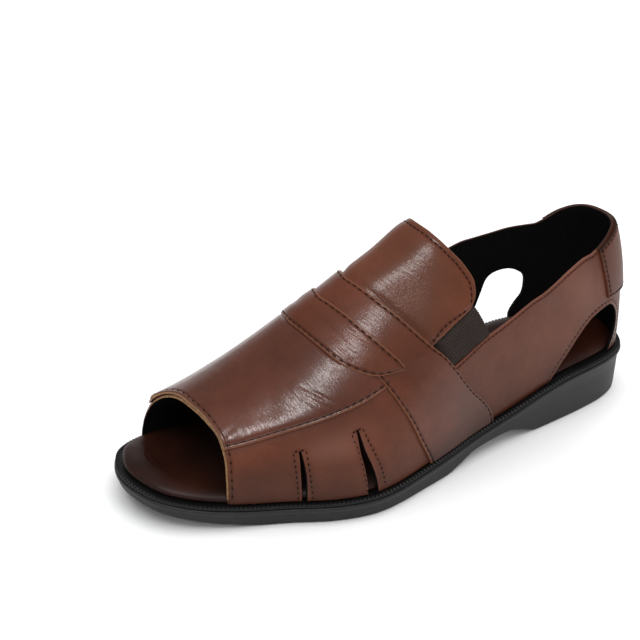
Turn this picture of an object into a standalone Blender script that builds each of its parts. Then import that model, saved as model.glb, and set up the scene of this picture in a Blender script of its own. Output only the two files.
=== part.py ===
"""Left shoe of a pair of slip-on leather sandals: open toe, slit wings, saddle strap, padded tongue,
elastic gores and a heel that is cut away on both sides of its back strip.

Sizes are millimetres. A station is measured from the back of the heel towards the toe, and in the heel it
follows the turn of the wall, with minus stations on the medial side. A girth is the angle up the wall:
0 at the welt on the lateral side, 90 on the ridge of the instep and 180 at the welt on the medial side.
"""

import bmesh
import bpy
import numpy as np

# Driving sizes
MM = 0.001
LENGTH = 290.0
BALL_WIDTH = 105.0
INSTEP_HEIGHT = 115.0
BACK_HEIGHT = 98.7
HEEL_CENTRE = 40.0
HEEL_OFFSET = -1.0
HEEL_TIP = (0.0, -0.5)
TOE_TIP = (LENGTH, -9.0)
WELT_THICK = 1.7
WALL = 1.6
PANEL = 1.2
KEEPER_THICK = 2.2
TONGUE_THICK = 2.6
GORE_THICK = 1.2
GORE_SINK = 0.5
FEATHER_INSET = 3.2
SEAT_GAP = 0.3
OVERLAY_GAP = 0.4
COUNTER_FOOT = 61.4
COUNTER_DROP = 0.8
GORE_GAP = 0.7
OUTLINE_STEPS = 34
DENSE_STEPS = 1440
RIDGE_GIRTH = 90.0
FULL_GIRTH = 180.0
PERCENT = 0.01


def columns(names, rows):
    """A table as one array for each named column."""
    return dict(zip(names.split(), np.array(rows, float).T))


# Plan of the sole: half widths in hundredths of the ball width
OUTLINE = columns("station lateral medial", [
    (6, 16.7, 17.6),
    (18, 24.8, 25.7),
    (38, 29.7, 31.4),
    (75, 34.4, 34.3),
    (115, 39.7, 34.8),
    (150, 47.9, 39.0),
    (183, 54.0, 45.7),
    (205, 50.5, 47.1),
    (230, 40.2, 45.7),
    (255, 31.2, 41.4),
    (273, 21.9, 35.8),
    (284, 11.2, 26.7),
])

# Side view of the sole: heights of its top edge and of its underside
PROFILE = columns("station edge under", [
    (0, 25.5, 0),
    (50, 24.7, 0),
    (71, 22.0, 0),
    (96, 17.0, 7.0),
    (116, 14.1, 6.0),
    (140, 11.5, 0),
    (185, 8.9, 0),
    (215, 8.6, 0),
    (234, 8.8, 0),
    (258, 10.4, 2.6),
    (274, 12.4, 5.5),
    (290, 15.1, 9.0),
])

# Sections of the last: ridge offset, ridge height in hundredths of the instep, fullness of each side
LAST = columns("station ridge height lateral medial", [
    (40, -1, 107.2, 2.15, 2.15),
    (60, -1, 107.8, 2.7, 2.7),
    (85, -1, 107.6, 3.4, 3.4),
    (110, -1, 106.0, 3.0, 3.0),
    (130, -2, 102.3, 2.5, 2.4),
    (152, -3, 90.5, 2.1, 2.2),
    (167, -4, 83.7, 1.9, 1.95),
    (184, -5, 74.9, 1.8, 1.8),
    (212, -7, 58.8, 2.1, 1.95),
    (234, -8, 48.4, 2.35, 2.1),
    (250, -9, 43.8, 2.3, 2.1),
    (266, -9, 41.2, 2.3, 2.1),
    (284, -9, 34.4, 2.3, 2.1),
])

# Top line of the quarters in hundredths of the back height, over the station where its wall meets the welt
TOP_LINE = columns("foot station lateral medial", [
    (0, 0, 99.6, 99.6),
    (9, 9, 100, 100),
    (18, 18, 98.3, 98.7),
    (26, 26, 95.2, 95.9),
    (33, 33, 92.5, 91.7),
    (45, 45, 90.3, 88.4),
    (58, 58, 87.2, 87.7),
    (80, 80, 79.8, 84.8),
    (102, 100, 72.8, 79.6),
    (124, 120, 66.1, 71.2),
    (146, 136, 59.9, 62.9),
])

# Throat behind the instep, and the welt and toe opening in front of it, rising from the welt to the ridge
THROAT = columns("station girth lateral medial rise", [
    (145.6, 34.7, 176, 180, 0),
    (152.7, 44.5, 206, 214, 0),
    (158.1, 53.6, 234, 246, 0),
    (162.4, 61.7, 252.6, 266.5, 0),
    (164.5, 66.5, 252.1, 265.4, 17),
    (166.3, 71.1, 251.0, 263.8, 34),
    (167.7, 75.4, 250.8, 262.2, 50),
    (168.8, 79.5, 252.4, 259.6, 64),
    (169.6, 85.0, 254.2, 257.4, 78),
    (170.2, 90, 255.8, 255.8, 90),
])

# Panels of the vamp, each row from its front edge to its rear edge, rising from the lateral side to the ridge
PLUG = columns("lateral medial rise rear rear_girth", [
    (250.9, 263.1, 39.6, 175.9, 37.6),
    (250.8, 262.3, 48, 179.9, 43.2),
    (251.8, 260.8, 58, 185.4, 47.9),
    (253.0, 258.8, 69, 192.3, 55.6),
    (254.4, 257.2, 79, 196.9, 66.6),
    (255.4, 256.2, 86, 199.4, 79.9),
    (255.8, 255.8, 90, 200.6, 90),
])
KEEPER = columns("front front_girth rear rear_girth", [
    (164.9, 38.7, 163.9, 39.5),
    (171.3, 40.8, 165.6, 42.6),
    (178.3, 43.6, 168.6, 47.1),
    (184.6, 48.1, 171.7, 52.4),
    (191.5, 55.7, 175.0, 59.0),
    (195.9, 66.1, 178.6, 67.5),
    (198.8, 79.0, 182.2, 79.5),
    (199.8, 90.0, 183.8, 90.0),
])
SADDLE = columns("front front_girth rear rear_girth", [
    (152.0, 0, 107.0, 0),
    (159.2, 10.0, 113.8, 3.2),
    (165.8, 21.9, 121.9, 7.9),
    (172.3, 33.3, 129.8, 14.9),
    (176.8, 41.6, 136.3, 22.5),
    (171.0, 39.8, 141.6, 29.5),
    (161.3, 36.9, 147.2, 36.5),
    (167.4, 47.2, 154.7, 47.4),
    (173.3, 58.4, 160.4, 57.4),
    (177.7, 69.0, 165.5, 68.0),
    (181.3, 81.0, 169.1, 79.5),
    (182.9, 90.0, 170.6, 90.0),
])
TONGUE = columns("front front_girth rear rear_girth", [
    (145.6, 36.2, 123.8, 35.3),
    (147.6, 38.8, 119.7, 38.6),
    (151.8, 44.5, 118.9, 43.5),
    (158.4, 55.8, 123.0, 55.0),
    (163.9, 67.1, 128.1, 67.3),
    (167.8, 79.4, 132.7, 80.2),
    (169.0, 90.0, 134.8, 90.0),
])
GORE = columns("top top_girth foot", [
    (144.3, 34.9, 135.2),
    (137.6, 34.4, 127.0),
    (130.5, 33.9, 119.0),
    (123.1, 34.3, 110.5),
])
COUNTER_STATIONS = (32, 24, 16, 8, 0, -8, -16, -24, -32)

# Cuts in side view: the heel cut-outs, and each slit's half width up its height
CUTOUT_LATERAL = columns("station height", [
    (26, 15.4), (25, 28.5), (20.5, 35.5), (18.5, 43.5), (19.5, 50.5), (24.5, 56.5), (31.5, 56.4), (40, 53.3),
    (47.5, 47.7), (55, 39.6), (61, 33), (69, 22.4), (71, 14.9),
])
CUTOUT_MEDIAL = columns("station height", [
    (47, 15.2), (47, 31.2), (44, 37.2), (40.5, 42.3), (39.8, 48.3), (41, 54.3), (45, 57.7), (50, 60.1),
    (55, 60.6), (61, 59.5), (64.7, 56.6), (67, 49.9), (72, 32.9), (74, 14.8),
])
FRONT_SLIT = columns("station height half", [
    (219.5, 5, 0.9),
    (219.5, 23, 0.9),
    (219.7, 36.4, 0.5),
])
REAR_SLIT = columns("station height half", [
    (187.0, 5.4, 2.1),
    (188.4, 17.2, 2.0),
    (190.0, 25.8, 1.6),
    (192.1, 34.4, 1.0),
    (192.9, 43.4, 0.4),
])
CUT_STEPS = 40
CUT_INNER = 4.0
CUT_OUTER = 70.0

# Sides of the three layers underfoot: inset from the plan, with height as a share of the layer
OUTSOLE_SIDE = columns("inset share drop", [
    (1.8, 0, 0),
    (1.35, 0.05, 0),
    (1.25, 0.35, 0),
    (1.1, 1, 3.0),
    (0.2, 1, 2.3),
    (0.0, 1, 1.2),
    (0.3, 1, 0),
])
WELT_SIDE = columns("inset height", [
    (0.9, 0),
    (0.5, 0.5),
    (0.5, 1.2),
    (0.9, 1.7),
])
INSOLE_SIDE = columns("inset height", [
    (5.9, 0),
    (5.5, 1.0),
    (5.5, 2.6),
    (6.3, 3.8),
    (8.2, 4.4),
    (14.0, 4.0),
])


def smooth(xs, ys, x):
    """Cubic through the rows of a table that never overshoots them."""
    x = np.clip(x, xs[0], xs[-1])
    run = np.diff(xs)
    slope = np.diff(ys) / run
    before, after = slope[:-1], slope[1:]
    total = np.where(before + after == 0, 1, before + after)
    inner = np.where(before * after > 0, 2 * before * after / total, 0)
    tangent = np.concatenate([slope[:1], inner, slope[-1:]])
    i = np.clip(np.searchsorted(xs, x, side="right") - 1, 0, len(xs) - 2)
    w = (x - xs[i]) / run[i]
    rise = ys[i] + (ys[i + 1] - ys[i]) * w * w * (3 - 2 * w)
    return rise + w * (1 - w) * run[i] * (tangent[i] * (1 - w) - tangent[i + 1] * w)


def closed_curve(points, count):
    """Smooth closed curve through points, sampled evenly by chord length."""
    ahead = np.roll(points, -1, axis=0)
    chord = np.linalg.norm(ahead - points, axis=1)
    tangent = (ahead - np.roll(points, 1, axis=0)) / (chord + np.roll(chord, 1))[:, None]
    start = np.concatenate([[0], np.cumsum(chord)])
    s = np.linspace(0, start[-1], count, endpoint=False)
    i = np.searchsorted(start, s, side="right") - 1
    j = (i + 1) % len(points)
    run = chord[i][:, None]
    w = (s - start[i])[:, None] / run
    blend = w * w * (3 - 2 * w)
    bend = w * (1 - w) * run * (tangent[i] * (1 - w) - tangent[j] * w)
    return points[i] * (1 - blend) + points[j] * blend + bend


def outline(inset):
    """Plan of the sole drawn in by inset: from the heel up the lateral side, back down the medial side."""
    lateral = np.column_stack([OUTLINE["station"], OUTLINE["lateral"] * BALL_WIDTH * PERCENT])
    medial = np.column_stack([OUTLINE["station"], -OUTLINE["medial"] * BALL_WIDTH * PERCENT])
    loop = closed_curve(np.vstack([HEEL_TIP, lateral, TOE_TIP, medial[::-1]]), DENSE_STEPS)
    along = np.roll(loop, -1, axis=0) - np.roll(loop, 1, axis=0)
    along /= np.linalg.norm(along, axis=1)[:, None]
    return loop + inset * np.column_stack([along[:, 1], -along[:, 0]])


def edge(x):
    """Height of the sole's top edge."""
    return smooth(PROFILE["station"], PROFILE["edge"], x)


def under(x):
    """Height of the sole's underside."""
    return smooth(PROFILE["station"], PROFILE["under"], x)


PLAN = outline(0)
TOE_INDEX = int(PLAN[:, 0].argmax())
SAMPLE_X = LENGTH * (1 - np.cos(np.linspace(0, np.pi, OUTLINE_STEPS + 1)[1:-1])) / 2
LATERAL_INDEX = [int(np.abs(PLAN[:TOE_INDEX, 0] - x).argmin()) for x in SAMPLE_X]
MEDIAL_INDEX = [TOE_INDEX + int(np.abs(PLAN[TOE_INDEX:, 0] - x).argmin()) for x in SAMPLE_X]
RING_INDEX = [0, *LATERAL_INDEX, TOE_INDEX, *MEDIAL_INDEX[::-1]]
RING_X = np.concatenate([[0], SAMPLE_X, [LENGTH], SAMPLE_X[::-1]])
RING_PLAN = PLAN[RING_INDEX]
ORIGIN = np.append((RING_PLAN.min(axis=0) + RING_PLAN.max(axis=0)) / 2, 0)

FEATHER = outline(FEATHER_INSET)
FEATHER_SIDES = {1: FEATHER[:TOE_INDEX + 1], -1: np.vstack([FEATHER[TOE_INDEX:], FEATHER[:1]])[::-1]}


def foot(station, side):
    """Foot of the wall: straight across in front of the heel's centre, radial behind it."""
    path = FEATHER_SIDES[side]
    offset = path - (HEEL_CENTRE, HEEL_OFFSET)
    angle = np.arctan2(-offset[:, 0], side * offset[:, 1])
    order = np.argsort(angle)
    turn = np.clip(1 - station / HEEL_CENTRE, 0, 1) * np.pi / 2
    radius = np.interp(turn, angle[order], np.hypot(*offset.T)[order])
    x = np.where(station < HEEL_CENTRE, HEEL_CENTRE - radius * np.sin(turn), station)
    across = np.interp(station, path[:, 0], path[:, 1])
    y = np.where(station < HEEL_CENTRE, HEEL_OFFSET + side * radius * np.cos(turn), across)
    return x, y


def last_column(name, station):
    """A column of the last's sections between their stations."""
    return smooth(LAST["station"], LAST[name], station)


def section(station, side):
    """Foot, axis, heights and fullness of the wall at a station on one side."""
    x, y = foot(station, side)
    axis_x = np.maximum(station, HEEL_CENTRE)
    axis_y = last_column("ridge", station)
    low = edge(x) + SEAT_GAP + WELT_THICK + SEAT_GAP
    high = last_column("height", station) * INSTEP_HEIGHT * PERCENT
    power = 2 / last_column("lateral" if side > 0 else "medial", station)
    return x, y, axis_x, axis_y, low, high, power


def half_wall(station, angle, side):
    """Points on one side of the last."""
    x, y, axis_x, axis_y, low, high, power = section(station, side)
    out = np.clip(np.cos(np.radians(angle)), 0, 1) ** power
    up = np.clip(np.sin(np.radians(angle)), 0, 1) ** power
    return np.stack([axis_x + (x - axis_x) * out, axis_y + (y - axis_y) * out, low + (high - low) * up], -1)


def last_point(station, girth):
    """Points on the last by station and girth."""
    girth = np.where(station < 0, FULL_GIRTH - girth, girth)
    station = np.abs(station)
    lateral = (girth <= RIDGE_GIRTH)[..., None]
    left = half_wall(station, np.minimum(girth, RIDGE_GIRTH), 1)
    right = half_wall(station, FULL_GIRTH - np.maximum(girth, RIDGE_GIRTH), -1)
    return np.where(lateral, left, right)


def wall(station, girth, lift):
    """Points lifted off the last along its outward direction."""
    step = 0.4
    girth_in = np.clip(girth, step, FULL_GIRTH - step)
    along = last_point(station + step, girth_in) - last_point(station - step, girth_in)
    up = last_point(station, girth_in + step) - last_point(station, girth_in - step)
    out = np.cross(up, along)
    out /= np.linalg.norm(out, axis=-1, keepdims=True)
    return last_point(station, girth) + lift * out


def girth_at(station, height, side):
    """Angle up the wall where it reaches a height."""
    _, _, _, _, low, high, power = section(np.abs(station), side)
    return np.degrees(np.arcsin(np.clip((height - low) / (high - low), 0, 1) ** (1 / power)))


def top_girth(station, side):
    """Angle of the quarter's top line."""
    column = TOP_LINE["lateral" if side > 0 else "medial"]
    height = smooth(TOP_LINE["station"], column, np.abs(station)) * BACK_HEIGHT * PERCENT
    return girth_at(station, height, side)


def other_side(rows):
    """Rows of the lateral half turned over to the medial side."""
    return [(a, FULL_GIRTH - b, c, FULL_GIRTH - d) for a, b, c, d in rows]


def both_sides(lateral, medial):
    """Rows from the lateral edge over the ridge to the medial edge."""
    return lateral + other_side(medial)[-2::-1]


def table_rows(table, names):
    """Rows of a table in the order of the named columns."""
    return list(zip(*(table[name] for name in names.split())))


for item in list(bpy.data.objects):
    bpy.data.objects.remove(item, do_unlink=True)
parts = bpy.data.collections.new("leather_sandal")
cutters = bpy.data.collections.new("cutters")
bpy.context.scene.collection.children.link(parts)
bpy.context.scene.collection.children.link(cutters)


def material(name, colour, roughness):
    """A plain surface for one kind of material."""
    made = bpy.data.materials.new(name)
    made.use_nodes = True
    shader = made.node_tree.nodes["Principled BSDF"]
    shader.inputs["Base Color"].default_value = (*colour, 1)
    shader.inputs["Roughness"].default_value = roughness
    shader.inputs["Metallic"].default_value = 0
    return made


POLISHED = material("polished_leather", (0.16, 0.055, 0.03), 0.3)
WAXED = material("waxed_leather", (0.12, 0.05, 0.032), 0.45)
FOOTBED = material("footbed_leather", (0.05, 0.022, 0.015), 0.45)
ELASTIC = material("ribbed_elastic", (0.06, 0.028, 0.018), 0.85)
BOARD = material("black_board", (0.012, 0.012, 0.012), 0.6)
RUBBER = material("charcoal_rubber", (0.038, 0.038, 0.039), 0.55)


def add_object(name, mesh, surface, collection=parts):
    """Put a built mesh in the scene."""
    data = bpy.data.meshes.new(name)
    mesh.to_mesh(data)
    mesh.free()
    data.shade_smooth()
    data.set_sharp_from_angle(angle=np.radians(40))
    if surface:
        data.materials.append(surface)
    made = bpy.data.objects.new(name, data)
    collection.objects.link(made)
    return made


def layer(name, side_rings, surface):
    """A sole layer lofted through rings of the plan, closed by strips from side to side."""
    mesh = bmesh.new()
    rings = [[mesh.verts.new((point - ORIGIN) * MM) for point in ring] for ring in side_rings]
    count = len(RING_INDEX)
    for low, high in zip(rings, rings[1:]):
        for i in range(count):
            j = (i + 1) % count
            mesh.faces.new((low[i], low[j], high[j], high[i]))
    for cap in (rings[0], rings[-1]):
        mesh.faces.new((cap[0], cap[1], cap[-1]))
        for i in range(1, OUTLINE_STEPS - 1):
            mesh.faces.new((cap[i], cap[i + 1], cap[-i - 1], cap[-i]))
        toe = OUTLINE_STEPS
        mesh.faces.new((cap[toe - 1], cap[toe], cap[toe + 1]))
    bmesh.ops.recalc_face_normals(mesh, faces=mesh.faces)
    return add_object(name, mesh, surface)


def sheet(name, rows, lift, thick, across, along, surface):
    """A sheet of even thickness on the last, ruled from edge to edge of each row."""
    table = columns("front front_girth rear rear_girth", rows)
    index = np.arange(len(rows), dtype=float)
    fine = np.linspace(0, index[-1], (len(rows) - 1) * along + 1)
    ends = {key: smooth(index, values, fine)[:, None] for key, values in table.items()}
    share = np.linspace(0, 1, across + 1)[None, :]
    station = ends["front"] * (1 - share) + ends["rear"] * share
    girth = ends["front_girth"] * (1 - share) + ends["rear_girth"] * share
    points = (wall(station, girth, lift + thick) - ORIGIN) * MM
    inside = (wall(station, girth, lift) - ORIGIN) * MM
    mesh = bmesh.new()
    grid = [[mesh.verts.new(point) for point in line] for line in points]
    for one, two in zip(grid, grid[1:]):
        for k in range(across):
            mesh.faces.new((one[k], two[k], two[k + 1], one[k + 1]))
    bmesh.ops.remove_doubles(mesh, verts=mesh.verts, dist=0.02 * MM)
    mesh.normal_update()
    mesh.faces.ensure_lookup_table()
    middle = mesh.faces[len(mesh.faces) // 2]
    nearest = np.linalg.norm(points - np.array(middle.verts[0].co), axis=-1).argmin()
    outward = (points - inside).reshape(-1, 3)[nearest]
    if np.dot(outward, middle.normal) < 0:
        bmesh.ops.reverse_faces(mesh, faces=mesh.faces)
    made = add_object(name, mesh, surface)
    shell = made.modifiers.new("thickness", "SOLIDIFY")
    shell.thickness = thick * MM
    shell.offset = -1
    return made


def cutter(name, points, inner, outer):
    """A bar across the shoe with the given outline in side view."""
    mesh = bmesh.new()
    face = mesh.faces.new([mesh.verts.new((x, inner, z)) for x, z in points])
    moved = bmesh.ops.extrude_face_region(mesh, geom=[face])["geom"]
    ends = [item for item in moved if isinstance(item, bmesh.types.BMVert)]
    bmesh.ops.translate(mesh, verts=ends, vec=(0, outer - inner, 0))
    bmesh.ops.translate(mesh, verts=mesh.verts, vec=-ORIGIN)
    bmesh.ops.scale(mesh, verts=mesh.verts, vec=(MM, MM, MM))
    bmesh.ops.recalc_face_normals(mesh, faces=mesh.faces)
    made = add_object(name, mesh, None, cutters)
    made.hide_render = True
    made.display_type = "WIRE"
    return made


def cut(target, tool):
    """Take a cutter away from a piece."""
    step = target.modifiers.new(tool.name, "BOOLEAN")
    step.operation = "DIFFERENCE"
    step.object = tool


def slit(table):
    """Outline of a slit from its half widths."""
    up = [(x - half, z) for x, z, half in table_rows(table, "station height half")]
    down = [(x + half, z) for x, z, half in table_rows(table, "station height half")]
    return up + down[::-1]


# Three layers underfoot
outsole_rings = []
for inset, share, drop in table_rows(OUTSOLE_SIDE, "inset share drop"):
    height = under(RING_X) + (edge(RING_X) - under(RING_X)) * share - drop
    outsole_rings.append(np.column_stack([outline(inset)[RING_INDEX], height]))
layer("outsole", outsole_rings, RUBBER)
welt_rings = []
for inset, height in table_rows(WELT_SIDE, "inset height"):
    welt_rings.append(np.column_stack([outline(inset)[RING_INDEX], edge(RING_X) + SEAT_GAP + height]))
layer("welt", welt_rings, BOARD)
insole_rings = []
insole_seat = edge(RING_X) + SEAT_GAP + WELT_THICK + SEAT_GAP
for inset, height in table_rows(INSOLE_SIDE, "inset height"):
    insole_rings.append(np.column_stack([outline(inset)[RING_INDEX], insole_seat + height]))
layer("insole", insole_rings, FOOTBED)

# Upper: quarters from the back to the throat, wings to the toe opening
wall_rows = {}
for side, column in ((1, "lateral"), (-1, "medial")):
    quarter = []
    for low, high in table_rows(TOP_LINE, "foot station"):
        quarter.append((low, 0, high, float(top_girth(high, side))))
    wings = table_rows(THROAT, column + " rise station girth")
    wall_rows[column] = quarter + wings
upper = sheet("upper", both_sides(wall_rows["lateral"], wall_rows["medial"]), -WALL, WALL, 9, 3, WAXED)
for name, shape, inner, outer in (
    ("lateral_cutout", CUTOUT_LATERAL, CUT_INNER, CUT_OUTER),
    ("medial_cutout", CUTOUT_MEDIAL, -CUT_OUTER, -CUT_INNER),
):
    rounded = closed_curve(np.array(table_rows(shape, "station height")), CUT_STEPS)
    cut(upper, cutter(name, rounded, inner, outer))
cut(upper, cutter("front_slit", slit(FRONT_SLIT), -CUT_OUTER, CUT_OUTER))
cut(upper, cutter("rear_slit", slit(REAR_SLIT), -CUT_OUTER, CUT_OUTER))

# Overlays on the vamp
plug_lateral = table_rows(PLUG, "lateral rise rear rear_girth")
plug_medial = table_rows(PLUG, "medial rise rear rear_girth")
sheet("plug", both_sides(plug_lateral, plug_medial), OVERLAY_GAP, PANEL, 8, 2, POLISHED)
for name, table, lift, thick, across, along, surface in (
    ("keeper", KEEPER, OVERLAY_GAP, KEEPER_THICK, 5, 2, POLISHED),
    ("saddle", SADDLE, OVERLAY_GAP, PANEL, 5, 2, POLISHED),
    ("tongue", TONGUE, -TONGUE_THICK, TONGUE_THICK, 8, 2, POLISHED),
):
    half = table_rows(table, "front front_girth rear rear_girth")
    sheet(name, both_sides(half, half), lift, thick, across, along, surface)

# Gores between tongue and quarters
for name, side in (("gore_lateral", 1), ("gore_medial", -1)):
    gore_rows = []
    for top, top_angle, low in table_rows(GORE, "top top_girth foot"):
        gore_rows.append((top, top_angle, low, float(top_girth(low, side)) + GORE_GAP))
    gore_rows = gore_rows if side > 0 else other_side(gore_rows)
    sheet(name, gore_rows, -GORE_SINK - GORE_THICK, GORE_THICK, 4, 2, ELASTIC)

# Counter round the back of the heel
counter_rows = []
for station in COUNTER_STATIONS:
    side = 1 if station >= 0 else -1
    height = smooth(TOP_LINE["station"], TOP_LINE["lateral" if side > 0 else "medial"], abs(station))
    high = float(girth_at(station, height * BACK_HEIGHT * PERCENT - COUNTER_DROP, side))
    low = float(girth_at(station, COUNTER_FOOT, side))
    counter_rows.append((float(station), low, float(station), high))
sheet("counter", counter_rows, OVERLAY_GAP, PANEL, 5, 2, WAXED)
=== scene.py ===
# %% [markdown]
# # A leather sandal, one shoe of a pair
# The solids of the shoe are loaded first and stay where they are. Every visible piece is then made again at
# a finer scale around them: rubber sole, wheeled welt, footbed, leather upper with its overlays, elastic
# and thread. Working from the solids means that nothing has to be fitted by eye afterwards.

import bmesh
import bpy
import numpy as np
from mathutils import Matrix


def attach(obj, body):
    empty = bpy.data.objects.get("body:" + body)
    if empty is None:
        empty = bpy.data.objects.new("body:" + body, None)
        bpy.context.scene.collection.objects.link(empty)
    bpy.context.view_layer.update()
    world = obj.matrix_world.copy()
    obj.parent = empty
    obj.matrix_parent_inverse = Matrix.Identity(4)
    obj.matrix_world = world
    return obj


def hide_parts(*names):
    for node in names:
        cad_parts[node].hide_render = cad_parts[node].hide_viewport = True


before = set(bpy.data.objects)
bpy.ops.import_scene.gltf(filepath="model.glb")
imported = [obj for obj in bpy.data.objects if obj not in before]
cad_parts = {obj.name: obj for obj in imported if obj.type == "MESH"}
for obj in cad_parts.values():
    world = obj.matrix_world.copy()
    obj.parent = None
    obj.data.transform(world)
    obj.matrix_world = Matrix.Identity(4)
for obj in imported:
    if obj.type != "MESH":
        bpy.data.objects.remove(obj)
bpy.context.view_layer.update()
print("solids:", sorted(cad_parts))

# %% [markdown]
# ## The last
# Shoemakers stretch leather over a last, a wooden form of the foot. Here the last is a set of functions: a
# plan of the sole, its side view, and a rounded section at any station from heel to toe. A point on it is
# named by its station in millimetres and by its girth, the angle up the wall: 0 at the lateral welt, 90 on
# the ridge of the instep, 180 at the medial welt. Tables with one row a section keep the design readable,
# where a sculpted mesh would hide it.

# %% Sizes of the last
MM = 0.001
LENGTH = 290.0
BALL_WIDTH = 105.0
INSTEP_HEIGHT = 115.0
BACK_HEIGHT = 98.7
HEEL_CENTRE = 40.0
HEEL_OFFSET = -1.0
HEEL_TIP = (0.0, -0.5)
TOE_TIP = (LENGTH, -9.0)
WELT_THICK = 1.7
SEAT_GAP = 0.3
FEATHER_INSET = 3.2
RIDGE_GIRTH = 90.0
FULL_GIRTH = 180.0
PERCENT = 0.01
PLAN_STEPS = 2400


def columns(names, rows):
    """A table as one array for each named column."""
    return dict(zip(names.split(), np.array(rows, float).T))


OUTLINE = columns("station lateral medial", [
    (6, 16.7, 17.6),
    (18, 24.8, 25.7),
    (38, 29.7, 31.4),
    (75, 34.4, 34.3),
    (115, 39.7, 34.8),
    (150, 47.9, 39.0),
    (183, 54.0, 45.7),
    (205, 50.5, 47.1),
    (230, 40.2, 45.7),
    (255, 31.2, 41.4),
    (273, 21.9, 35.8),
    (284, 11.2, 26.7),
])
PROFILE = columns("station edge under", [
    (0, 25.5, 0),
    (50, 24.7, 0),
    (71, 22.0, 0),
    (96, 17.0, 7.0),
    (116, 14.1, 6.0),
    (140, 11.5, 0),
    (185, 8.9, 0),
    (215, 8.6, 0),
    (234, 8.8, 0),
    (258, 10.4, 2.6),
    (274, 12.4, 5.5),
    (290, 15.1, 9.0),
])
LAST = columns("station ridge height lateral medial", [
    (40, -1, 107.2, 2.15, 2.15),
    (60, -1, 107.8, 2.7, 2.7),
    (85, -1, 107.6, 3.4, 3.4),
    (110, -1, 106.0, 3.0, 3.0),
    (130, -2, 102.3, 2.5, 2.4),
    (152, -3, 90.5, 2.1, 2.2),
    (167, -4, 83.7, 1.9, 1.95),
    (184, -5, 74.9, 1.8, 1.8),
    (212, -7, 58.8, 2.1, 1.95),
    (234, -8, 48.4, 2.35, 2.1),
    (250, -9, 43.8, 2.3, 2.1),
    (266, -9, 41.2, 2.3, 2.1),
    (284, -9, 34.4, 2.3, 2.1),
])
print("last:", LENGTH, "mm long,", BALL_WIDTH, "mm across the ball")

# %% [markdown]
# Small helpers draw smooth lines through the tables. One never overshoots its rows, which keeps the flat of
# the heel flat, and one goes round a closed plan. From these come the plan of the sole and its side view.


# %% Curves through the tables
def smooth(xs, ys, x):
    """Cubic through the rows of a table that never overshoots them."""
    x = np.clip(x, xs[0], xs[-1])
    run = np.diff(xs)
    slope = np.diff(ys) / run
    before, after = slope[:-1], slope[1:]
    total = np.where(before + after == 0, 1, before + after)
    inner = np.where(before * after > 0, 2 * before * after / total, 0)
    tangent = np.concatenate([slope[:1], inner, slope[-1:]])
    i = np.clip(np.searchsorted(xs, x, side="right") - 1, 0, len(xs) - 2)
    w = (x - xs[i]) / run[i]
    rise = ys[i] + (ys[i + 1] - ys[i]) * w * w * (3 - 2 * w)
    return rise + w * (1 - w) * run[i] * (tangent[i] * (1 - w) - tangent[i + 1] * w)


def closed_curve(points, count):
    """Smooth closed curve through points, sampled evenly by chord length."""
    ahead = np.roll(points, -1, axis=0)
    chord = np.linalg.norm(ahead - points, axis=1)
    tangent = (ahead - np.roll(points, 1, axis=0)) / (chord + np.roll(chord, 1))[:, None]
    start = np.concatenate([[0], np.cumsum(chord)])
    s = np.linspace(0, start[-1], count, endpoint=False)
    i = np.searchsorted(start, s, side="right") - 1
    j = (i + 1) % len(points)
    run = chord[i][:, None]
    w = (s - start[i])[:, None] / run
    blend = w * w * (3 - 2 * w)
    bend = w * (1 - w) * run * (tangent[i] * (1 - w) - tangent[j] * w)
    return points[i] * (1 - blend) + points[j] * blend + bend


def outline(inset):
    """Plan of the sole drawn in by inset: from the heel up the lateral side, back down the medial side."""
    lateral = np.column_stack([OUTLINE["station"], OUTLINE["lateral"] * BALL_WIDTH * PERCENT])
    medial = np.column_stack([OUTLINE["station"], -OUTLINE["medial"] * BALL_WIDTH * PERCENT])
    loop = closed_curve(np.vstack([HEEL_TIP, lateral, TOE_TIP, medial[::-1]]), PLAN_STEPS)
    along = np.roll(loop, -1, axis=0) - np.roll(loop, 1, axis=0)
    along /= np.linalg.norm(along, axis=1)[:, None]
    return loop + inset * np.column_stack([along[:, 1], -along[:, 0]])


def edge(x):
    """Height of the sole's top edge."""
    return smooth(PROFILE["station"], PROFILE["edge"], x)


def under(x):
    """Height of the sole's underside."""
    return smooth(PROFILE["station"], PROFILE["under"], x)


PLAN = outline(0)
TOE_INDEX = int(PLAN[:, 0].argmax())
ORIGIN = np.append((PLAN.min(axis=0) + PLAN.max(axis=0)) / 2, 0)
FEATHER = outline(FEATHER_INSET)
FEATHER_SIDES = {1: FEATHER[:TOE_INDEX + 1], -1: np.vstack([FEATHER[TOE_INDEX:], FEATHER[:1]])[::-1]}
print("plan centre:", ORIGIN.round(2))

# %% [markdown]
# In front of the heel's centre a section stands straight across the shoe. Behind it the sections fan out
# round the heel, so that the wall turns without a seam. A superellipse gives each section its fullness.


# %% Points on the last
def foot(station, side):
    """Foot of the wall: straight across in front of the heel's centre, radial behind it."""
    path = FEATHER_SIDES[side]
    offset = path - (HEEL_CENTRE, HEEL_OFFSET)
    angle = np.arctan2(-offset[:, 0], side * offset[:, 1])
    order = np.argsort(angle)
    turn = np.clip(1 - station / HEEL_CENTRE, 0, 1) * np.pi / 2
    radius = np.interp(turn, angle[order], np.hypot(*offset.T)[order])
    x = np.where(station < HEEL_CENTRE, HEEL_CENTRE - radius * np.sin(turn), station)
    across = np.interp(station, path[:, 0], path[:, 1])
    y = np.where(station < HEEL_CENTRE, HEEL_OFFSET + side * radius * np.cos(turn), across)
    return x, y


def last_column(name, station):
    """A column of the last's sections between their stations."""
    return smooth(LAST["station"], LAST[name], station)


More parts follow.
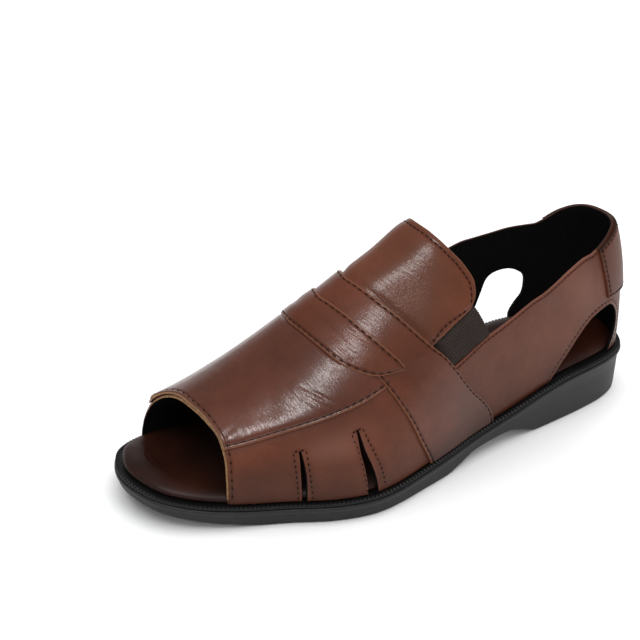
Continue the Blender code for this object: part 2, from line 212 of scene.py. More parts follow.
def section(station, side):
    """Foot, axis, heights and fullness of the wall at a station on one side."""
    x, y = foot(station, side)
    axis_x = np.maximum(station, HEEL_CENTRE)
    axis_y = last_column("ridge", station)
    low = edge(x) + SEAT_GAP + WELT_THICK + SEAT_GAP
    high = last_column("height", station) * INSTEP_HEIGHT * PERCENT
    power = 2 / last_column("lateral" if side > 0 else "medial", station)
    return x, y, axis_x, axis_y, low, high, power


def half_wall(station, angle, side):
    """Points on one side of the last."""
    x, y, axis_x, axis_y, low, high, power = section(station, side)
    out = np.clip(np.cos(np.radians(angle)), 0, 1) ** power
    up = np.clip(np.sin(np.radians(angle)), 0, 1) ** power
    return np.stack([axis_x + (x - axis_x) * out, axis_y + (y - axis_y) * out, low + (high - low) * up], -1)


def last_point(station, girth):
    """Points on the last; a minus station is on the other side of the heel's back."""
    girth = np.where(station < 0, FULL_GIRTH - girth, girth)
    station = np.abs(station)
    left = half_wall(station, np.minimum(girth, RIDGE_GIRTH), 1)
    right = half_wall(station, FULL_GIRTH - np.maximum(girth, RIDGE_GIRTH), -1)
    return np.where((girth <= RIDGE_GIRTH)[..., None], left, right)


def outward(station, girth):
    """Direction straight out of the last."""
    step = 0.4
    girth = np.clip(girth, step, FULL_GIRTH - step)
    along = last_point(station + step, girth) - last_point(station - step, girth)
    up = last_point(station, girth + step) - last_point(station, girth - step)
    out = np.cross(up, along)
    return out / np.linalg.norm(out, axis=-1, keepdims=True)


def girth_at(station, height, side):
    """Angle up the wall where it reaches a height."""
    _, _, _, _, low, high, power = section(np.abs(station), side)
    return np.degrees(np.arcsin(np.clip((height - low) / (high - low), 0, 1) ** (1 / power)))


ridge_line = last_point(np.linspace(140, 265, 6), np.full(6, RIDGE_GIRTH))
print("ridge heights:", ridge_line[:, 2].round(1))

# %% [markdown]
# ## Finishes
# Each finish starts from what the real material is. Colours are written as sRGB hex values, as a colour
# picker shows them, and one function turns them to the linear values that a renderer adds up. One helper
# adds a node, sets it and links it, so each recipe below reads from top to bottom.


# %% Helpers for finishes
def colour(hex_value):
    """Linear colour of an sRGB hex value."""
    parts = [int(hex_value[i:i + 2], 16) / 255 for i in (1, 3, 5)]
    return (*(p / 12.92 if p <= 0.04045 else ((p + 0.055) / 1.055) ** 2.4 for p in parts), 1)


def add(tree, kind, inputs, **settings):
    """A node with its settings; an input is a value or the socket that feeds it."""
    made = tree.nodes.new(kind)
    for key, value in settings.items():
        setattr(made, key, value)
    for key, value in inputs.items():
        if isinstance(value, bpy.types.NodeSocket):
            tree.links.new(value, made.inputs[key])
        else:
            made.inputs[key].default_value = value
    return made


def per_metre(size_mm):
    """Texture scale that gives features of this size."""
    return 1 / (size_mm * MM)


def start_finish(name, **sockets):
    """An empty surface with the values that are the same all over."""
    made = bpy.data.materials.new(name)
    made.use_nodes = True
    shader = made.node_tree.nodes["Principled BSDF"]
    for key, value in sockets.items():
        shader.inputs[key.replace("_", " ")].default_value = value
    return made, made.node_tree, shader


def three_tones(tree, factor, tones):
    """A ramp of three hex colours, from dark to light."""
    dark, middle, light = [colour(tone) for tone in tones]
    ramp = add(tree, "ShaderNodeValToRGB", {"Fac": factor})
    ramp.color_ramp.elements[0].position = 0.3
    ramp.color_ramp.elements[0].color = dark
    ramp.color_ramp.elements[1].position = 0.72
    ramp.color_ramp.elements[1].color = light
    ramp.color_ramp.elements.new(0.5).color = middle
    return ramp.outputs["Color"]


print("red-brown in linear:", [round(c, 3) for c in colour("#70402d")])

# %% [markdown]
# Full-grain cowhide, dyed through and waxed: the fine pores stay, the dye is uneven from the hand rubbing,
# and the wax lies on top as a thin clear coat. The plug is polished by hand until it mirrors the lamp.
# Saddle, keeper and tongue are only brushed, and quarters and wings keep a low waxed sheen. Pores are about
# 0.3 mm on the hide; they are drawn near 1 mm so that they show. Fine flex lines run across the foot, so
# they are a noise stretched along the girth in the panel's own coordinates. They bend the coat alone,
# because the eye sees them in the highlights. A painted value along the seams darkens them, as wax and dye
# collect there, and below zero it shows where the hide is rubbed pale. The same value also carries painted
# shade, darker toward the welt and low on the front of the wing, and painted sheen, paler on the wing
# between the slits and beside the heel.

# %% Leather
DYE_PATCH_MM, SHEEN_PATCH_MM = 42, 6
PORE_MM, PORE_DEPTH_MM = 1.0, 0.1
FLEX_WIDTH_MM, FLEX_LENGTH_MM, FLEX_DEPTH_MM = 1.0, 9.0, 0.35


def leather(name, tones, dye_and_shade_tone, rubbed_and_sheen_tone, roughness, shine, coat, coat_roughness, flex, pores):
    """Waxed full-grain hide; the painted value turns to the tone of dye and painted shade above zero, to the
    tone of rubbed edges and painted sheen below.
    """
    made, tree, shader = start_finish(
        name, Coat_Roughness=coat_roughness, Coat_IOR=1.5, IOR=1.45, Specular_IOR_Level=shine)
    place = add(tree, "ShaderNodeTexCoord", {})
    cloud = add(tree, "ShaderNodeTexNoise", {
        "Vector": place.outputs["Object"], "Scale": per_metre(DYE_PATCH_MM), "Detail": 8.0, "Roughness": 0.7})
    tone = three_tones(tree, cloud.outputs["Fac"], tones)
    # The painted value carries dye and wear, and also painted shade and painted sheen.
    dye_wear_and_painted_light = add(tree, "ShaderNodeAttribute", {}, attribute_name="dye_wear_and_painted_light")
    rubbed_and_sheen_share = add(tree, "ShaderNodeMath", {0: dye_wear_and_painted_light.outputs["Fac"], 1: -1.0}, operation="MULTIPLY")
    dyed_and_shaded = add(tree, "ShaderNodeMix", {
        0: dye_wear_and_painted_light.outputs["Fac"], 6: tone, 7: colour(dye_and_shade_tone)}, data_type="RGBA")
    rubbed_and_sheened = add(tree, "ShaderNodeMix", {
        0: rubbed_and_sheen_share.outputs[0], 6: dyed_and_shaded.outputs[2], 7: colour(rubbed_and_sheen_tone)}, data_type="RGBA")
    tree.links.new(rubbed_and_sheened.outputs[2], shader.inputs["Base Color"])
    sheen_cloud = add(tree, "ShaderNodeTexNoise", {
        "Vector": place.outputs["Object"], "Scale": per_metre(SHEEN_PATCH_MM), "Detail": 3.0})
    gloss = add(tree, "ShaderNodeMapRange", {
        "Value": sheen_cloud.outputs["Fac"], "To Min": roughness - 0.06, "To Max": roughness + 0.07})
    tree.links.new(gloss.outputs["Result"], shader.inputs["Roughness"])
    handled = add(tree, "ShaderNodeMath", {0: dye_wear_and_painted_light.outputs["Fac"]}, operation="ABSOLUTE")
    wax = add(tree, "ShaderNodeMapRange", {"Value": handled.outputs[0], "To Min": coat, "To Max": 0.1 * coat})
    tree.links.new(wax.outputs["Result"], shader.inputs["Coat Weight"])
    pore = add(tree, "ShaderNodeTexVoronoi", {
        "Vector": place.outputs["Object"], "Scale": per_metre(PORE_MM)})
    grain = add(tree, "ShaderNodeBump", {
        "Height": pore.outputs["Distance"], "Strength": pores, "Distance": PORE_DEPTH_MM * MM})
    stretched = add(tree, "ShaderNodeMapping", {
        "Vector": place.outputs["UV"], "Scale": (per_metre(FLEX_WIDTH_MM), per_metre(FLEX_LENGTH_MM), 1.0)})
    line = add(tree, "ShaderNodeTexNoise", {
        "Vector": stretched.outputs["Vector"], "Scale": 1.0, "Detail": 2.0, "Distortion": 0.6})
    flexed = add(tree, "ShaderNodeBump", {
        "Height": line.outputs["Fac"], "Strength": flex, "Distance": FLEX_DEPTH_MM * MM,
        "Normal": grain.outputs["Normal"]})
    tree.links.new(grain.outputs["Normal"], shader.inputs["Normal"])
    tree.links.new(flexed.outputs["Normal"], shader.inputs["Coat Normal"])
    return made


POLISHED = leather(
    "hand_polished_cowhide", ("#411e0f", "#4e2515", "#5d2e1f"), dye_and_shade_tone="#1c0b05", rubbed_and_sheen_tone="#6f4630",
    roughness=0.36, shine=0.25, coat=0.5, coat_roughness=0.2, flex=0.95, pores=0.22)
BRUSHED = leather(
    "brushed_cowhide", ("#45200f", "#522715", "#623120"), dye_and_shade_tone="#1c0b05", rubbed_and_sheen_tone="#6f4630",
    roughness=0.42, shine=0.18, coat=0.42, coat_roughness=0.22, flex=0.6, pores=0.4)
WAXED = leather(
    "waxed_cowhide", ("#482214", "#552b1a", "#653522"), dye_and_shade_tone="#200e07", rubbed_and_sheen_tone="#83584a",
    roughness=0.46, shine=0.22, coat=0.12, coat_roughness=0.3, flex=0.4, pores=0.45)
print("leathers:", POLISHED.name, BRUSHED.name, WAXED.name)

# %% [markdown]
# The cut edge of the hide shows its undyed fibres as a tan line. The lining is a black brushed split hide
# that swallows the light. The footbed is a darker, smoother calf. One recipe of a mottled tone and a fine
# bump serves all three, with its own size of fibre for each.


# %% Cut edge, lining and footbed
def mottled(name, tones, roughness, size_mm, bump, **sockets):
    """A surface with one mottled tone and a fine bump of the same pattern."""
    made, tree, shader = start_finish(name, Roughness=roughness, **sockets)
    place = add(tree, "ShaderNodeTexCoord", {})
    fibre = add(tree, "ShaderNodeTexNoise", {
        "Vector": place.outputs["Object"], "Scale": per_metre(size_mm), "Detail": 4.0})
    tone = three_tones(tree, fibre.outputs["Fac"], tones)
    tree.links.new(tone, shader.inputs["Base Color"])
    rough = add(tree, "ShaderNodeBump", {
        "Height": fibre.outputs["Fac"], "Strength": bump, "Distance": 0.2 * MM})
    tree.links.new(rough.outputs["Normal"], shader.inputs["Normal"])
    return made


CUT_EDGE = mottled(
    "raw_cut_hide", ("#6e4b2e", "#8a6440", "#a17a52"), roughness=0.8, size_mm=1.4, bump=0.4)
LINING = mottled(
    "black_split_lining", ("#040404", "#070606", "#0b0a0a"), roughness=0.95, size_mm=2.0, bump=0.5,
    Specular_IOR_Level=0.15)
FOOTBED = mottled(
    "footbed_calf", ("#1c0904", "#250e07", "#30140b"), roughness=0.5, size_mm=24, bump=0.1,
    Specular_IOR_Level=0.22)
print("edges and linings:", CUT_EDGE.name, LINING.name, FOOTBED.name)

# %% [markdown]
# The sole is one moulding of charcoal rubber with a satin side. The welt is black board, its edge pressed
# with a heated wheel. Gores are covered rubber thread, woven with fine ribs. Thread is bonded polyester
# with almost no gloss, nearly black at the toe, the slits, the tongue and the counter and brown along the
# other seams.

# %% Rubber, board, elastic and thread
RUBBER = mottled(
    "moulded_charcoal_rubber", ("#111111", "#151515", "#1a1a1a"), roughness=0.55, size_mm=3.0, bump=0.12,
    Specular_IOR_Level=0.4)
BOARD = mottled(
    "wheeled_black_board", ("#040404", "#060606", "#0a0a0a"), roughness=0.5, size_mm=1.5, bump=0.2,
    Specular_IOR_Level=0.3)
ELASTIC = mottled(
    "ribbed_elastic", ("#1a100c", "#241711", "#2f2019"), roughness=0.8, size_mm=0.8, bump=0.5)
THREAD = mottled(
    "dark_bonded_thread", ("#120905", "#1a0e08", "#24140d"), roughness=0.8, size_mm=0.6, bump=0.2,
    Specular_IOR_Level=0.1)
SEAM_THREAD = mottled(
    "brown_bonded_thread", ("#24150d", "#2f1d12", "#3d281a"), roughness=0.8, size_mm=0.6, bump=0.2,
    Specular_IOR_Level=0.1)
print("moulded and woven:", RUBBER.name, BOARD.name, ELASTIC.name, THREAD.name, SEAM_THREAD.name)

# %% [markdown]
# ## Making meshes
# A piece is a grid of points from the functions above. It is turned into a mesh in one place, where it also
# gets its coordinates for the textures, its painted value of dye, wear, shade and sheen, and its finishes,
# and
# where it is tied to the solids: it rides on the shoe's one body and stands for the solid that it replaces.

# %% Mesh from points
SHARP_ANGLE = np.radians(50)


def make_piece(name, points, faces, tones, finishes, replaced=(), flat=None, dye_wear_and_painted_light=None):
    """A finished piece from points in millimetres on the last."""
    mesh = bpy.data.meshes.new(name)
    mesh.from_pydata((np.asarray(points) - ORIGIN) * MM, [], faces)
    mesh.polygons.foreach_set("material_index", np.asarray(tones, np.int32))
    mesh.polygons.foreach_set("use_smooth", np.ones(len(faces), bool))
    for finish in finishes:
        mesh.materials.append(finish)
    corner = np.zeros(len(mesh.loops), np.int32)
    mesh.loops.foreach_get("vertex_index", corner)
    if flat is not None:
        layer = mesh.uv_layers.new(name="panel")
        layer.data.foreach_set("uv", (np.asarray(flat)[corner] * MM).astype(np.float32).ravel())
    if dye_wear_and_painted_light is not None:
        # Painted value of dye and wear, with painted shade and painted sheen on some panels.
        paint = mesh.attributes.new("dye_wear_and_painted_light", "FLOAT", "POINT")
        paint.data.foreach_set("value", np.asarray(dye_wear_and_painted_light, np.float32).ravel())
    mesh.update()
    made = bpy.data.objects.new(name, mesh)
    bpy.context.scene.collection.objects.link(made)
    mesh.set_sharp_from_angle(angle=SHARP_ANGLE)
    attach(made, "root")
    if replaced:
        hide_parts(*replaced)
    print(name, len(mesh.vertices), "points")
    return made


def grid_faces(rows, cols, wrap=False):
    """Quads of a grid of points counted row by row."""
    i, k = np.meshgrid(np.arange(rows if wrap else rows - 1), np.arange(cols - 1), indexing="ij")
    j = (i + 1) % rows
    quads = np.stack([i * cols + k, j * cols + k, j * cols + k + 1, i * cols + k + 1], -1)
    return quads.reshape(-1, 4)


print("quads between 3 by 3 points:", len(grid_faces(3, 3)))

# %% [markdown]
# ## Sole
# The real sole is moulded: a wide lip at the top, a slightly drawn-in side, a rounded tread edge and a heel
# block with a sloping breast. It could be extruded from its outline, but then the edge could not rise and
# fall. It is lofted instead: the plan is drawn in by a few millimetres for each ring, and each ring takes
# its height from the side view. Strips from side to side close it.

# %% Rings of the plan
RING_STEPS = 150
SAMPLE_X = LENGTH * (1 - np.cos(np.linspace(0, np.pi, RING_STEPS + 1)[1:-1])) / 2
LATERAL_INDEX = [int(np.abs(PLAN[:TOE_INDEX, 0] - x).argmin()) for x in SAMPLE_X]
MEDIAL_INDEX = [TOE_INDEX + int(np.abs(PLAN[TOE_INDEX:, 0] - x).argmin()) for x in SAMPLE_X]
RING_INDEX = [0, *LATERAL_INDEX, TOE_INDEX, *MEDIAL_INDEX[::-1]]
RING_X = np.concatenate([[0], SAMPLE_X, [LENGTH], SAMPLE_X[::-1]])
RING_SIZE = len(RING_INDEX)


def ring_points(inset, height):
    """The plan drawn in by inset, at a height for each of its points."""
    return np.column_stack([outline(inset)[RING_INDEX], height])


def ring_faces(rings):
    """Quads up the side of stacked rings."""
    around = grid_faces(RING_SIZE, rings, wrap=True)
    ring, spot = around % rings, around // rings
    return (ring * RING_SIZE + spot).tolist()


def cap_faces(first, turn):
    """Strips from the lateral to the medial side that close a ring."""
    faces = [[0, 1, RING_SIZE - 1]]
    for i in range(1, RING_STEPS - 1):
        faces.append([i, i + 1, RING_SIZE - i - 1, RING_SIZE - i])
    faces.append([RING_STEPS - 1, RING_STEPS, RING_STEPS + 1])
    return [[first + k for k in (face if turn else face[::-1])] for face in faces]


print("ring of the plan:", RING_SIZE, "points")

# %% [markdown]
# The rings of the outsole run from the tread out to its rounded edge, up the side and over the lip. Each
# row of the table says how far a ring is drawn in, its share of the sole's height and how far it lies below
# that. A bevel modifier could round the edges too, but it would round them all alike.

# %% Outsole
SOLE_RINGS = columns("inset share drop", [
    (4.0, 0, 0),
    (2.3, 0, 0),
    (1.8, 0, -0.1),
    (1.5, 0.02, -0.2),
    (1.38, 0.06, -0.2),
    (1.32, 0.14, 0),
    (1.28, 0.3, 0),
    (1.22, 0.6, 0),
    (1.15, 1, 3.0),
    (0.95, 1, 2.75),
    (0.45, 1, 2.5),
    (0.15, 1, 2.1),
    (0.0, 1, 1.5),
    (0.05, 1, 0.7),
    (0.3, 1, 0.2),
    (0.8, 1, 0),
    (4.0, 1, 0),
])
sole_points = []
for inset, share, drop in zip(*SOLE_RINGS.values()):
    sole_points.append(ring_points(inset, under(RING_X) + (edge(RING_X) - under(RING_X)) * share - drop))
sole_faces = ring_faces(len(sole_points)) + cap_faces(0, True)
sole_faces += cap_faces((len(sole_points) - 1) * RING_SIZE, False)
make_piece("outsole_rubber", np.vstack(sole_points), sole_faces, np.zeros(len(sole_faces)), [RUBBER],
           ["outsole"])

# %% [markdown]
# ## Welt
# The welt is a black strip between sole and upper. A heated wheel has pressed small ribs across its edge,
# and they catch the light as a beaded line. A bump could draw them, but they show on the outline, so they
# are modelled: a ring that rises and falls every 2 mm. The ring is closed like a tyre, since its middle is
# hidden under the footbed.

# %% Wheeled welt
RIB_PITCH = 2.1
WELT_RINGS = columns("inset height ribs", [
    (9.5, 0, 0),
    (1.2, 0, 0),
    (0.75, 0.15, 0.15),
    (0.5, 0.5, 0.5),
    (0.42, 1.0, 0.9),
    (0.55, 1.4, 1),
    (0.9, 1.75, 1),
    (1.5, 1.95, 1),
    (2.2, 1.95, 0.9),
    (2.9, 1.8, 0.5),
    (3.6, 1.6, 0),
    (9.5, 1.6, 0),
])
RIB_HEIGHT, RIB_DEPTH, RIB_FLATNESS = 0.42, 0.1, 0.6
plan_run = np.linalg.norm(np.diff(PLAN, axis=0, append=PLAN[:1]), axis=1)
plan_reach = np.cumsum(plan_run) - plan_run[0]
rib_count = int(plan_run.sum() / RIB_PITCH)
wave = np.cos(2 * np.pi * rib_count * plan_reach / plan_run.sum())
rib = np.sign(wave) * np.abs(wave) ** RIB_FLATNESS
welt_points = []
for inset, height, ribs in zip(*WELT_RINGS.values()):
    lift = edge(PLAN[:, 0]) + SEAT_GAP + height + ribs * RIB_HEIGHT * (rib - 1) / 2
    ring = outline((inset + RIB_DEPTH * ribs * (1 - rib))[:, None])
    welt_points.append(np.column_stack([ring, lift]))
welt_grid = np.array(welt_points).transpose(1, 0, 2)
welt_rows, welt_cols = welt_grid.shape[:2]
welt_faces = grid_faces(welt_rows, welt_cols, wrap=True).tolist()
for i in range(welt_rows):
    j = (i + 1) % welt_rows
    here, ahead = i * welt_cols, j * welt_cols
    welt_faces.append([here + welt_cols - 1, ahead + welt_cols - 1, ahead, here])
make_piece("welt_wheeled", welt_grid.reshape(-1, 3), welt_faces, np.zeros(len(welt_faces)), [BOARD],
           ["welt"])
print("ribs on the welt:", rib_count)

# %% [markdown]
# ## Footbed
# The footbed is a foam-backed insole covered in dark calf that is rolled over its rim. The rim is a stack
# of rings, and the top is a grid from side to side that dishes a little under the heel and the ball. At the
# toes, where no wall stands on the welt, the rim reaches further out.

# %% Footbed
SEAT = edge(RING_X) + SEAT_GAP + WELT_THICK + SEAT_GAP
RIM = columns("inset height", [
    (6.2, 0.0),
    (5.7, 0.4),
    (5.45, 1.0),
    (5.45, 1.6),
    (5.7, 2.25),
    (6.25, 2.85),
    (7.1, 3.4),
    (8.3, 3.85),
    (9.8, 4.2),
    (11.5, 4.35),
    (13.0, 4.3),
    (14.3, 4.15),
    (15.5, 4.05),
])
DISH = columns("station depth", [
    (10, 0.3),
    (40, 1.2),
    (80, 0.6),
    (130, 0.3),
    (190, 0.9),
    (250, 0.8),
    (285, 0.2),
])
ACROSS = 28
TOE_ROOM, TOE_ROOM_START, TOE_ROOM_RUN = 1.3, 236, 18
toe_room = TOE_ROOM * np.clip((PLAN[:, 0] - TOE_ROOM_START) / TOE_ROOM_RUN, 0, 1)
rim_points = [ring_points((inset - toe_room)[:, None], SEAT + height) for inset, height in zip(*RIM.values())]
rim_top = rim_points[-1]
share = np.linspace(0, 1, ACROSS + 1)[None, 1:-1, None]
left, right = rim_top[1:RING_STEPS, None], rim_top[:RING_STEPS:-1, None]
bed = left * (1 - share) + right * share
bed[..., 2] -= smooth(DISH["station"], DISH["depth"], bed[..., 0]) * np.sin(np.pi * share[..., 0]) ** 1.5
bed_faces = ring_faces(len(rim_points)) + cap_faces(0, True)
top = (len(rim_points) - 1) * RING_SIZE
inner = len(rim_points) * RING_SIZE


def bed_index(row, col):
    """Number of a point on the top of the footbed."""
    if col == 0:
        return top + row + 1
    if col == ACROSS:
        return top + RING_SIZE - 1 - row
    return inner + row * (ACROSS - 1) + col - 1


for row in range(RING_STEPS - 2):
    for col in range(ACROSS):
        bed_faces.append([bed_index(row, col), bed_index(row, col + 1), bed_index(row + 1, col + 1),
                          bed_index(row + 1, col)])
last_row = RING_STEPS - 2
bed_faces.append([top] + [bed_index(0, col) for col in range(ACROSS, -1, -1)])
bed_faces.append([bed_index(last_row, col) for col in range(ACROSS + 1)] + [top + RING_STEPS])
make_piece("footbed_cover", np.vstack([*rim_points, bed.reshape(-1, 3)]), bed_faces, np.zeros(len(bed_faces)),
           [FOOTBED], ["insole"])

# %% [markdown]
# ## Panels of leather
# Every panel of the upper is cut from a flat hide, so each is a sheet of even thickness between two edges
# on the last. A table gives those edges, row by row, and the grid between them is ruled and then lifted off
# the last. Points lie closer at the edges, where the leather is skived round and a row of stitches pulls a
# groove into it. A cloth simulation would also give soft folds, but it would not keep the cut lines.

# %% A panel on the last
EDGE_STEPS = np.array([0, 0.12, 0.35, 0.7, 1.1, 1.5, 1.9, 2.3, 2.8, 3.4, 4.2])
EDGE_SHARE = 0.42
SKIVE_SHARE, SKIVE_LIMIT, INNER_SKIVE = 0.45, 0.8, 0.3
SLANT_REACH = 0.6


def band(distance, at, half, power=2):
    """Soft band at a distance from an edge: 1 along its middle, fading over its half width."""
    return np.exp(-np.abs((distance - at) / half) ** power)


def surface_length(station, girth):
    """Length of lines on the last, along the second axis."""
    return np.linalg.norm(np.diff(last_point(station, girth), axis=1), axis=-1).sum(axis=1)


class Panel:
    """Grid of stations and girths between the front and rear edge of each row of a table."""

    def __init__(self, rows, step, closed=False):
        table = np.array(rows, float)
        index = np.arange(len(rows), dtype=float)
        dense = np.linspace(0, index[-1], len(rows) * 80)
        ends = [smooth(index, column, dense) for column in table.T]
        run = [np.linalg.norm(np.diff(last_point(ends[k], ends[k + 1]), axis=0), axis=1) for k in (0, 2)]
        reach = np.concatenate([[0], np.cumsum(np.maximum(*run))])
        marks = np.linspace(0, reach[-1], int(reach[-1] / step) + 2)
        if not closed:
            middle = marks[(marks > EDGE_STEPS[-1]) & (marks < reach[-1] - EDGE_STEPS[-1])]
            marks = np.concatenate([EDGE_STEPS, middle, reach[-1] - EDGE_STEPS[::-1]])
        spot = np.interp(marks, reach, dense)
        near = np.abs(spot[:, None] - index[None, 1:-1])
        for corner, row in zip(index[1:-1], near.T.argmin(axis=1)):
            spot[row] = corner
        self.spot = spot[:-1] if closed else spot
        self.index, self.table, self.closed = index, table, closed
        front, front_girth, rear, rear_girth = self.ends(self.spot)
        fine = np.linspace(0, 1, 17)[None, :]
        self.width = surface_length(front * (1 - fine) + rear * fine,
                                    front_girth * (1 - fine) + rear_girth * fine)
        scale = np.minimum(1, EDGE_SHARE * self.width / EDGE_STEPS[-1])[:, None]
        near_edge = EDGE_STEPS[None, :] * scale / self.width[:, None]
        inside = np.linspace(0, 1, int(self.width.max() / step) + 3)[None, 1:-1]
        inside = near_edge[:, -1:] + inside * (1 - 2 * near_edge[:, -1:])
        self.share = np.concatenate([near_edge, inside, 1 - near_edge[:, ::-1]], axis=1)
        self.station = front * (1 - self.share) + rear * self.share
        self.girth = front_girth * (1 - self.share) + rear_girth * self.share
        self.base = last_point(self.station, self.girth)
        self.out = outward(self.station, self.girth)
        self.front = self.share * self.width[:, None]
        self.rear = (1 - self.share) * self.width[:, None]
        hop = np.linalg.norm(np.diff(self.base, axis=0), axis=-1)
        self.start = np.concatenate([np.zeros_like(hop[:1]), np.cumsum(hop, axis=0)])
        self.end = self.start[-1:] - self.start

    def ends(self, spot):
        """Stations and girths of both edges, each as one column."""
        return [smooth(self.index, column, spot)[:, None] for column in self.table.T]

    def nearest_edge(self):
        """Distance to the nearest free edge."""
        near = np.minimum(self.front, self.rear)
        return near if self.closed else np.minimum(near, np.minimum(self.start, self.end))

    def line(self, edge_name, distance, low=None, high=None):
        """Stations and girths of a line at a distance inside an edge."""
        if edge_name in ("front", "rear"):
            rows = np.arange(len(self.spot))
            if low is not None:
                rows = rows[(self.spot >= low) & (self.spot <= high)]
            share = distance / self.width[rows]
            share = share if edge_name == "front" else 1 - share
            front, front_girth, rear, rear_girth = [column[:, 0] for column in self.ends(self.spot[rows])]
            return front * (1 - share) + rear * share, front_girth * (1 - share) + rear_girth * share
        away = self.start if edge_name == "start" else self.end
        station, girth = [], []
        for col in range(self.share.shape[1]):
            order = np.argsort(away[:, col])
            station.append(np.interp(distance, away[order, col], self.station[order, col]))
            girth.append(np.interp(distance, away[order, col], self.girth[order, col]))
        return np.array(station), np.array(girth)

    def height_along(self, relief, distance, low, high):
        """Relief along a line at a distance inside the rear edge."""
        rows = np.flatnonzero((self.spot >= low) & (self.spot <= high))
        return np.array([np.interp(1 - distance / self.width[k], self.share[k], relief[k]) for k in rows])

    def build(self, name, low, high, relief, finishes, slot, replaced=(), dye_wear_and_painted_light=0.0, raw=(), slant=0.0):
        """The panel as a piece between two lifts off the last; raw edges show the cut hide."""
        corner = min(SKIVE_SHARE * float(np.min(high - low)), SKIVE_LIMIT)
        gap = np.minimum(self.nearest_edge(), corner)
        skived = corner - np.sqrt(np.maximum(corner ** 2 - (corner - gap) ** 2, 0))
        outer = self.base + (high + relief - skived)[..., None] * self.out
        ahead = self.base[:, :1] - self.base[:, 1:2]
        ahead /= np.linalg.norm(ahead, axis=-1, keepdims=True)
        reach = (slant * band(self.front, 0, SLANT_REACH))[..., None] * ahead
        inner = self.base + (low + INNER_SKIVE * skived)[..., None] * self.out + reach
        rows, cols = self.share.shape
        count = rows * cols
        faces = grid_faces(rows, cols, self.closed)
        sides = [(np.arange(rows) * cols, 0), (np.arange(rows) * cols + cols - 1, 1)]
        rims, rim_tones = [], []
        for path, turn in sides:
            ahead = np.roll(path, -1) if self.closed else path[1:]
            here = path if self.closed else path[:-1]
            quad = np.stack([here, ahead, ahead + count, here + count], -1)
            rims.append(quad if turn else quad[:, ::-1])
            rim_tones += [2 if ("front", "rear")[turn] in raw else 0] * len(quad)
        if not self.closed:
            for path, turn in ((np.arange(cols), 1), (np.arange(cols) + (rows - 1) * cols, 0)):
                quad = np.stack([path[:-1], path[1:], path[1:] + count, path[:-1] + count], -1)
                rims.append(quad[:, ::-1] if turn else quad)
                rim_tones += [0] * len(quad)
        rim = np.vstack(rims)
        tones = np.concatenate([np.zeros(len(faces)), np.ones(len(faces)), rim_tones])
        every = np.vstack([faces, faces[:, ::-1] + count, rim])
        if np.dot(np.cross(outer[1, 0] - outer[0, 0], outer[0, 1] - outer[0, 0]), self.out[0, 0]) < 0:
            every = every[:, ::-1]
        flat = np.stack([self.front, self.start], -1).reshape(-1, 2)
        paint = np.broadcast_to(dye_wear_and_painted_light, self.share.shape).ravel()
        points = np.vstack([outer.reshape(-1, 3), inner.reshape(-1, 3)])
        return make_piece(name, points, every.tolist(), tones, finishes, replaced,
                          np.vstack([flat, flat]), np.concatenate([paint, paint]))


print("panel edges are sampled every", EDGE_STEPS[1:4], "mm and wider inside")

# %% [markdown]
# Stitches pull a groove into the leather, padding makes it swell, and walking creases it. Dye gathers in
# seams, the edges are rubbed pale, and a painted shade darkens the walls toward the welt. They could be
# sculpted with a brush, but as small functions of the distance to an edge or a line they can be measured
# and repeated on every panel.


# %% Grooves, swells and creases
def groove(distance, at, depth=0.28, half=0.6):
    """The line that a row of stitches pulls into the leather."""
    return -depth * band(distance, at, half)


def swell(distance, height, over):
    """Soft rise away from an edge."""
    return height * (1 - band(distance, 0, over))


def dyed_seam(distance, at):
    """Painted value of a seam where dye gathers, with a rubbed edge beside it."""
    return 0.45 * band(distance, at, 0.6) - 0.9 * band(distance, 0, 0.8)


def crease(panel, stations, girths, depth, half):
    """A trough along a line on the last that fades out at both ends; a ridge where depth is below zero."""
    line = last_point(np.array(stations, float), np.array(girths, float))
    best = np.full(panel.share.shape, 1e9)
    along = np.zeros(panel.share.shape)
    for k, (a, b) in enumerate(zip(line, line[1:])):
        w = np.clip((panel.base - a) @ (b - a) / ((b - a) @ (b - a)), 0, 1)
        away = np.linalg.norm(panel.base - (a + w[..., None] * (b - a)), axis=-1)
        along = np.where(away < best, (k + w) / (len(line) - 1), along)
        best = np.minimum(best, away)
    return -depth * band(best, 0, half) * np.sin(np.pi * np.clip(along, 0.02, 0.98)) ** 0.6


def painted_low_shade(panel):
    """Painted value of shade that darkens a panel toward the welt."""
    height = panel.base[..., 2] - edge(panel.base[..., 0])
    return 0.44 * band(height, 0, 16)


def both_sides(lateral, medial):
    """Rows from the lateral edge over the ridge to the medial edge."""
    turned = [(a, FULL_GIRTH - b, c, FULL_GIRTH - d) for a, b, c, d in medial]
    return lateral + turned[-2::-1]


def table_rows(table, names):
    """Rows of a table in the order of the named columns."""
    return list(zip(*(table[name] for name in names.split())))


def mirrored_panel(table, step):
    """A panel over the ridge that is alike on both sides."""
    half = table_rows(table, "front front_girth rear rear_girth")
    return Panel(both_sides(half, half), step)


print("a groove is", groove(0.0, 0.0), "mm at its middle")

# %% [markdown]
# ## Upper
# The upper is one wall of hide round the foot: quarters at the heel and wings that reach forward to the toe
# opening. It is left open over the toes and the instep. Its grid closes on itself at the back of the heel.

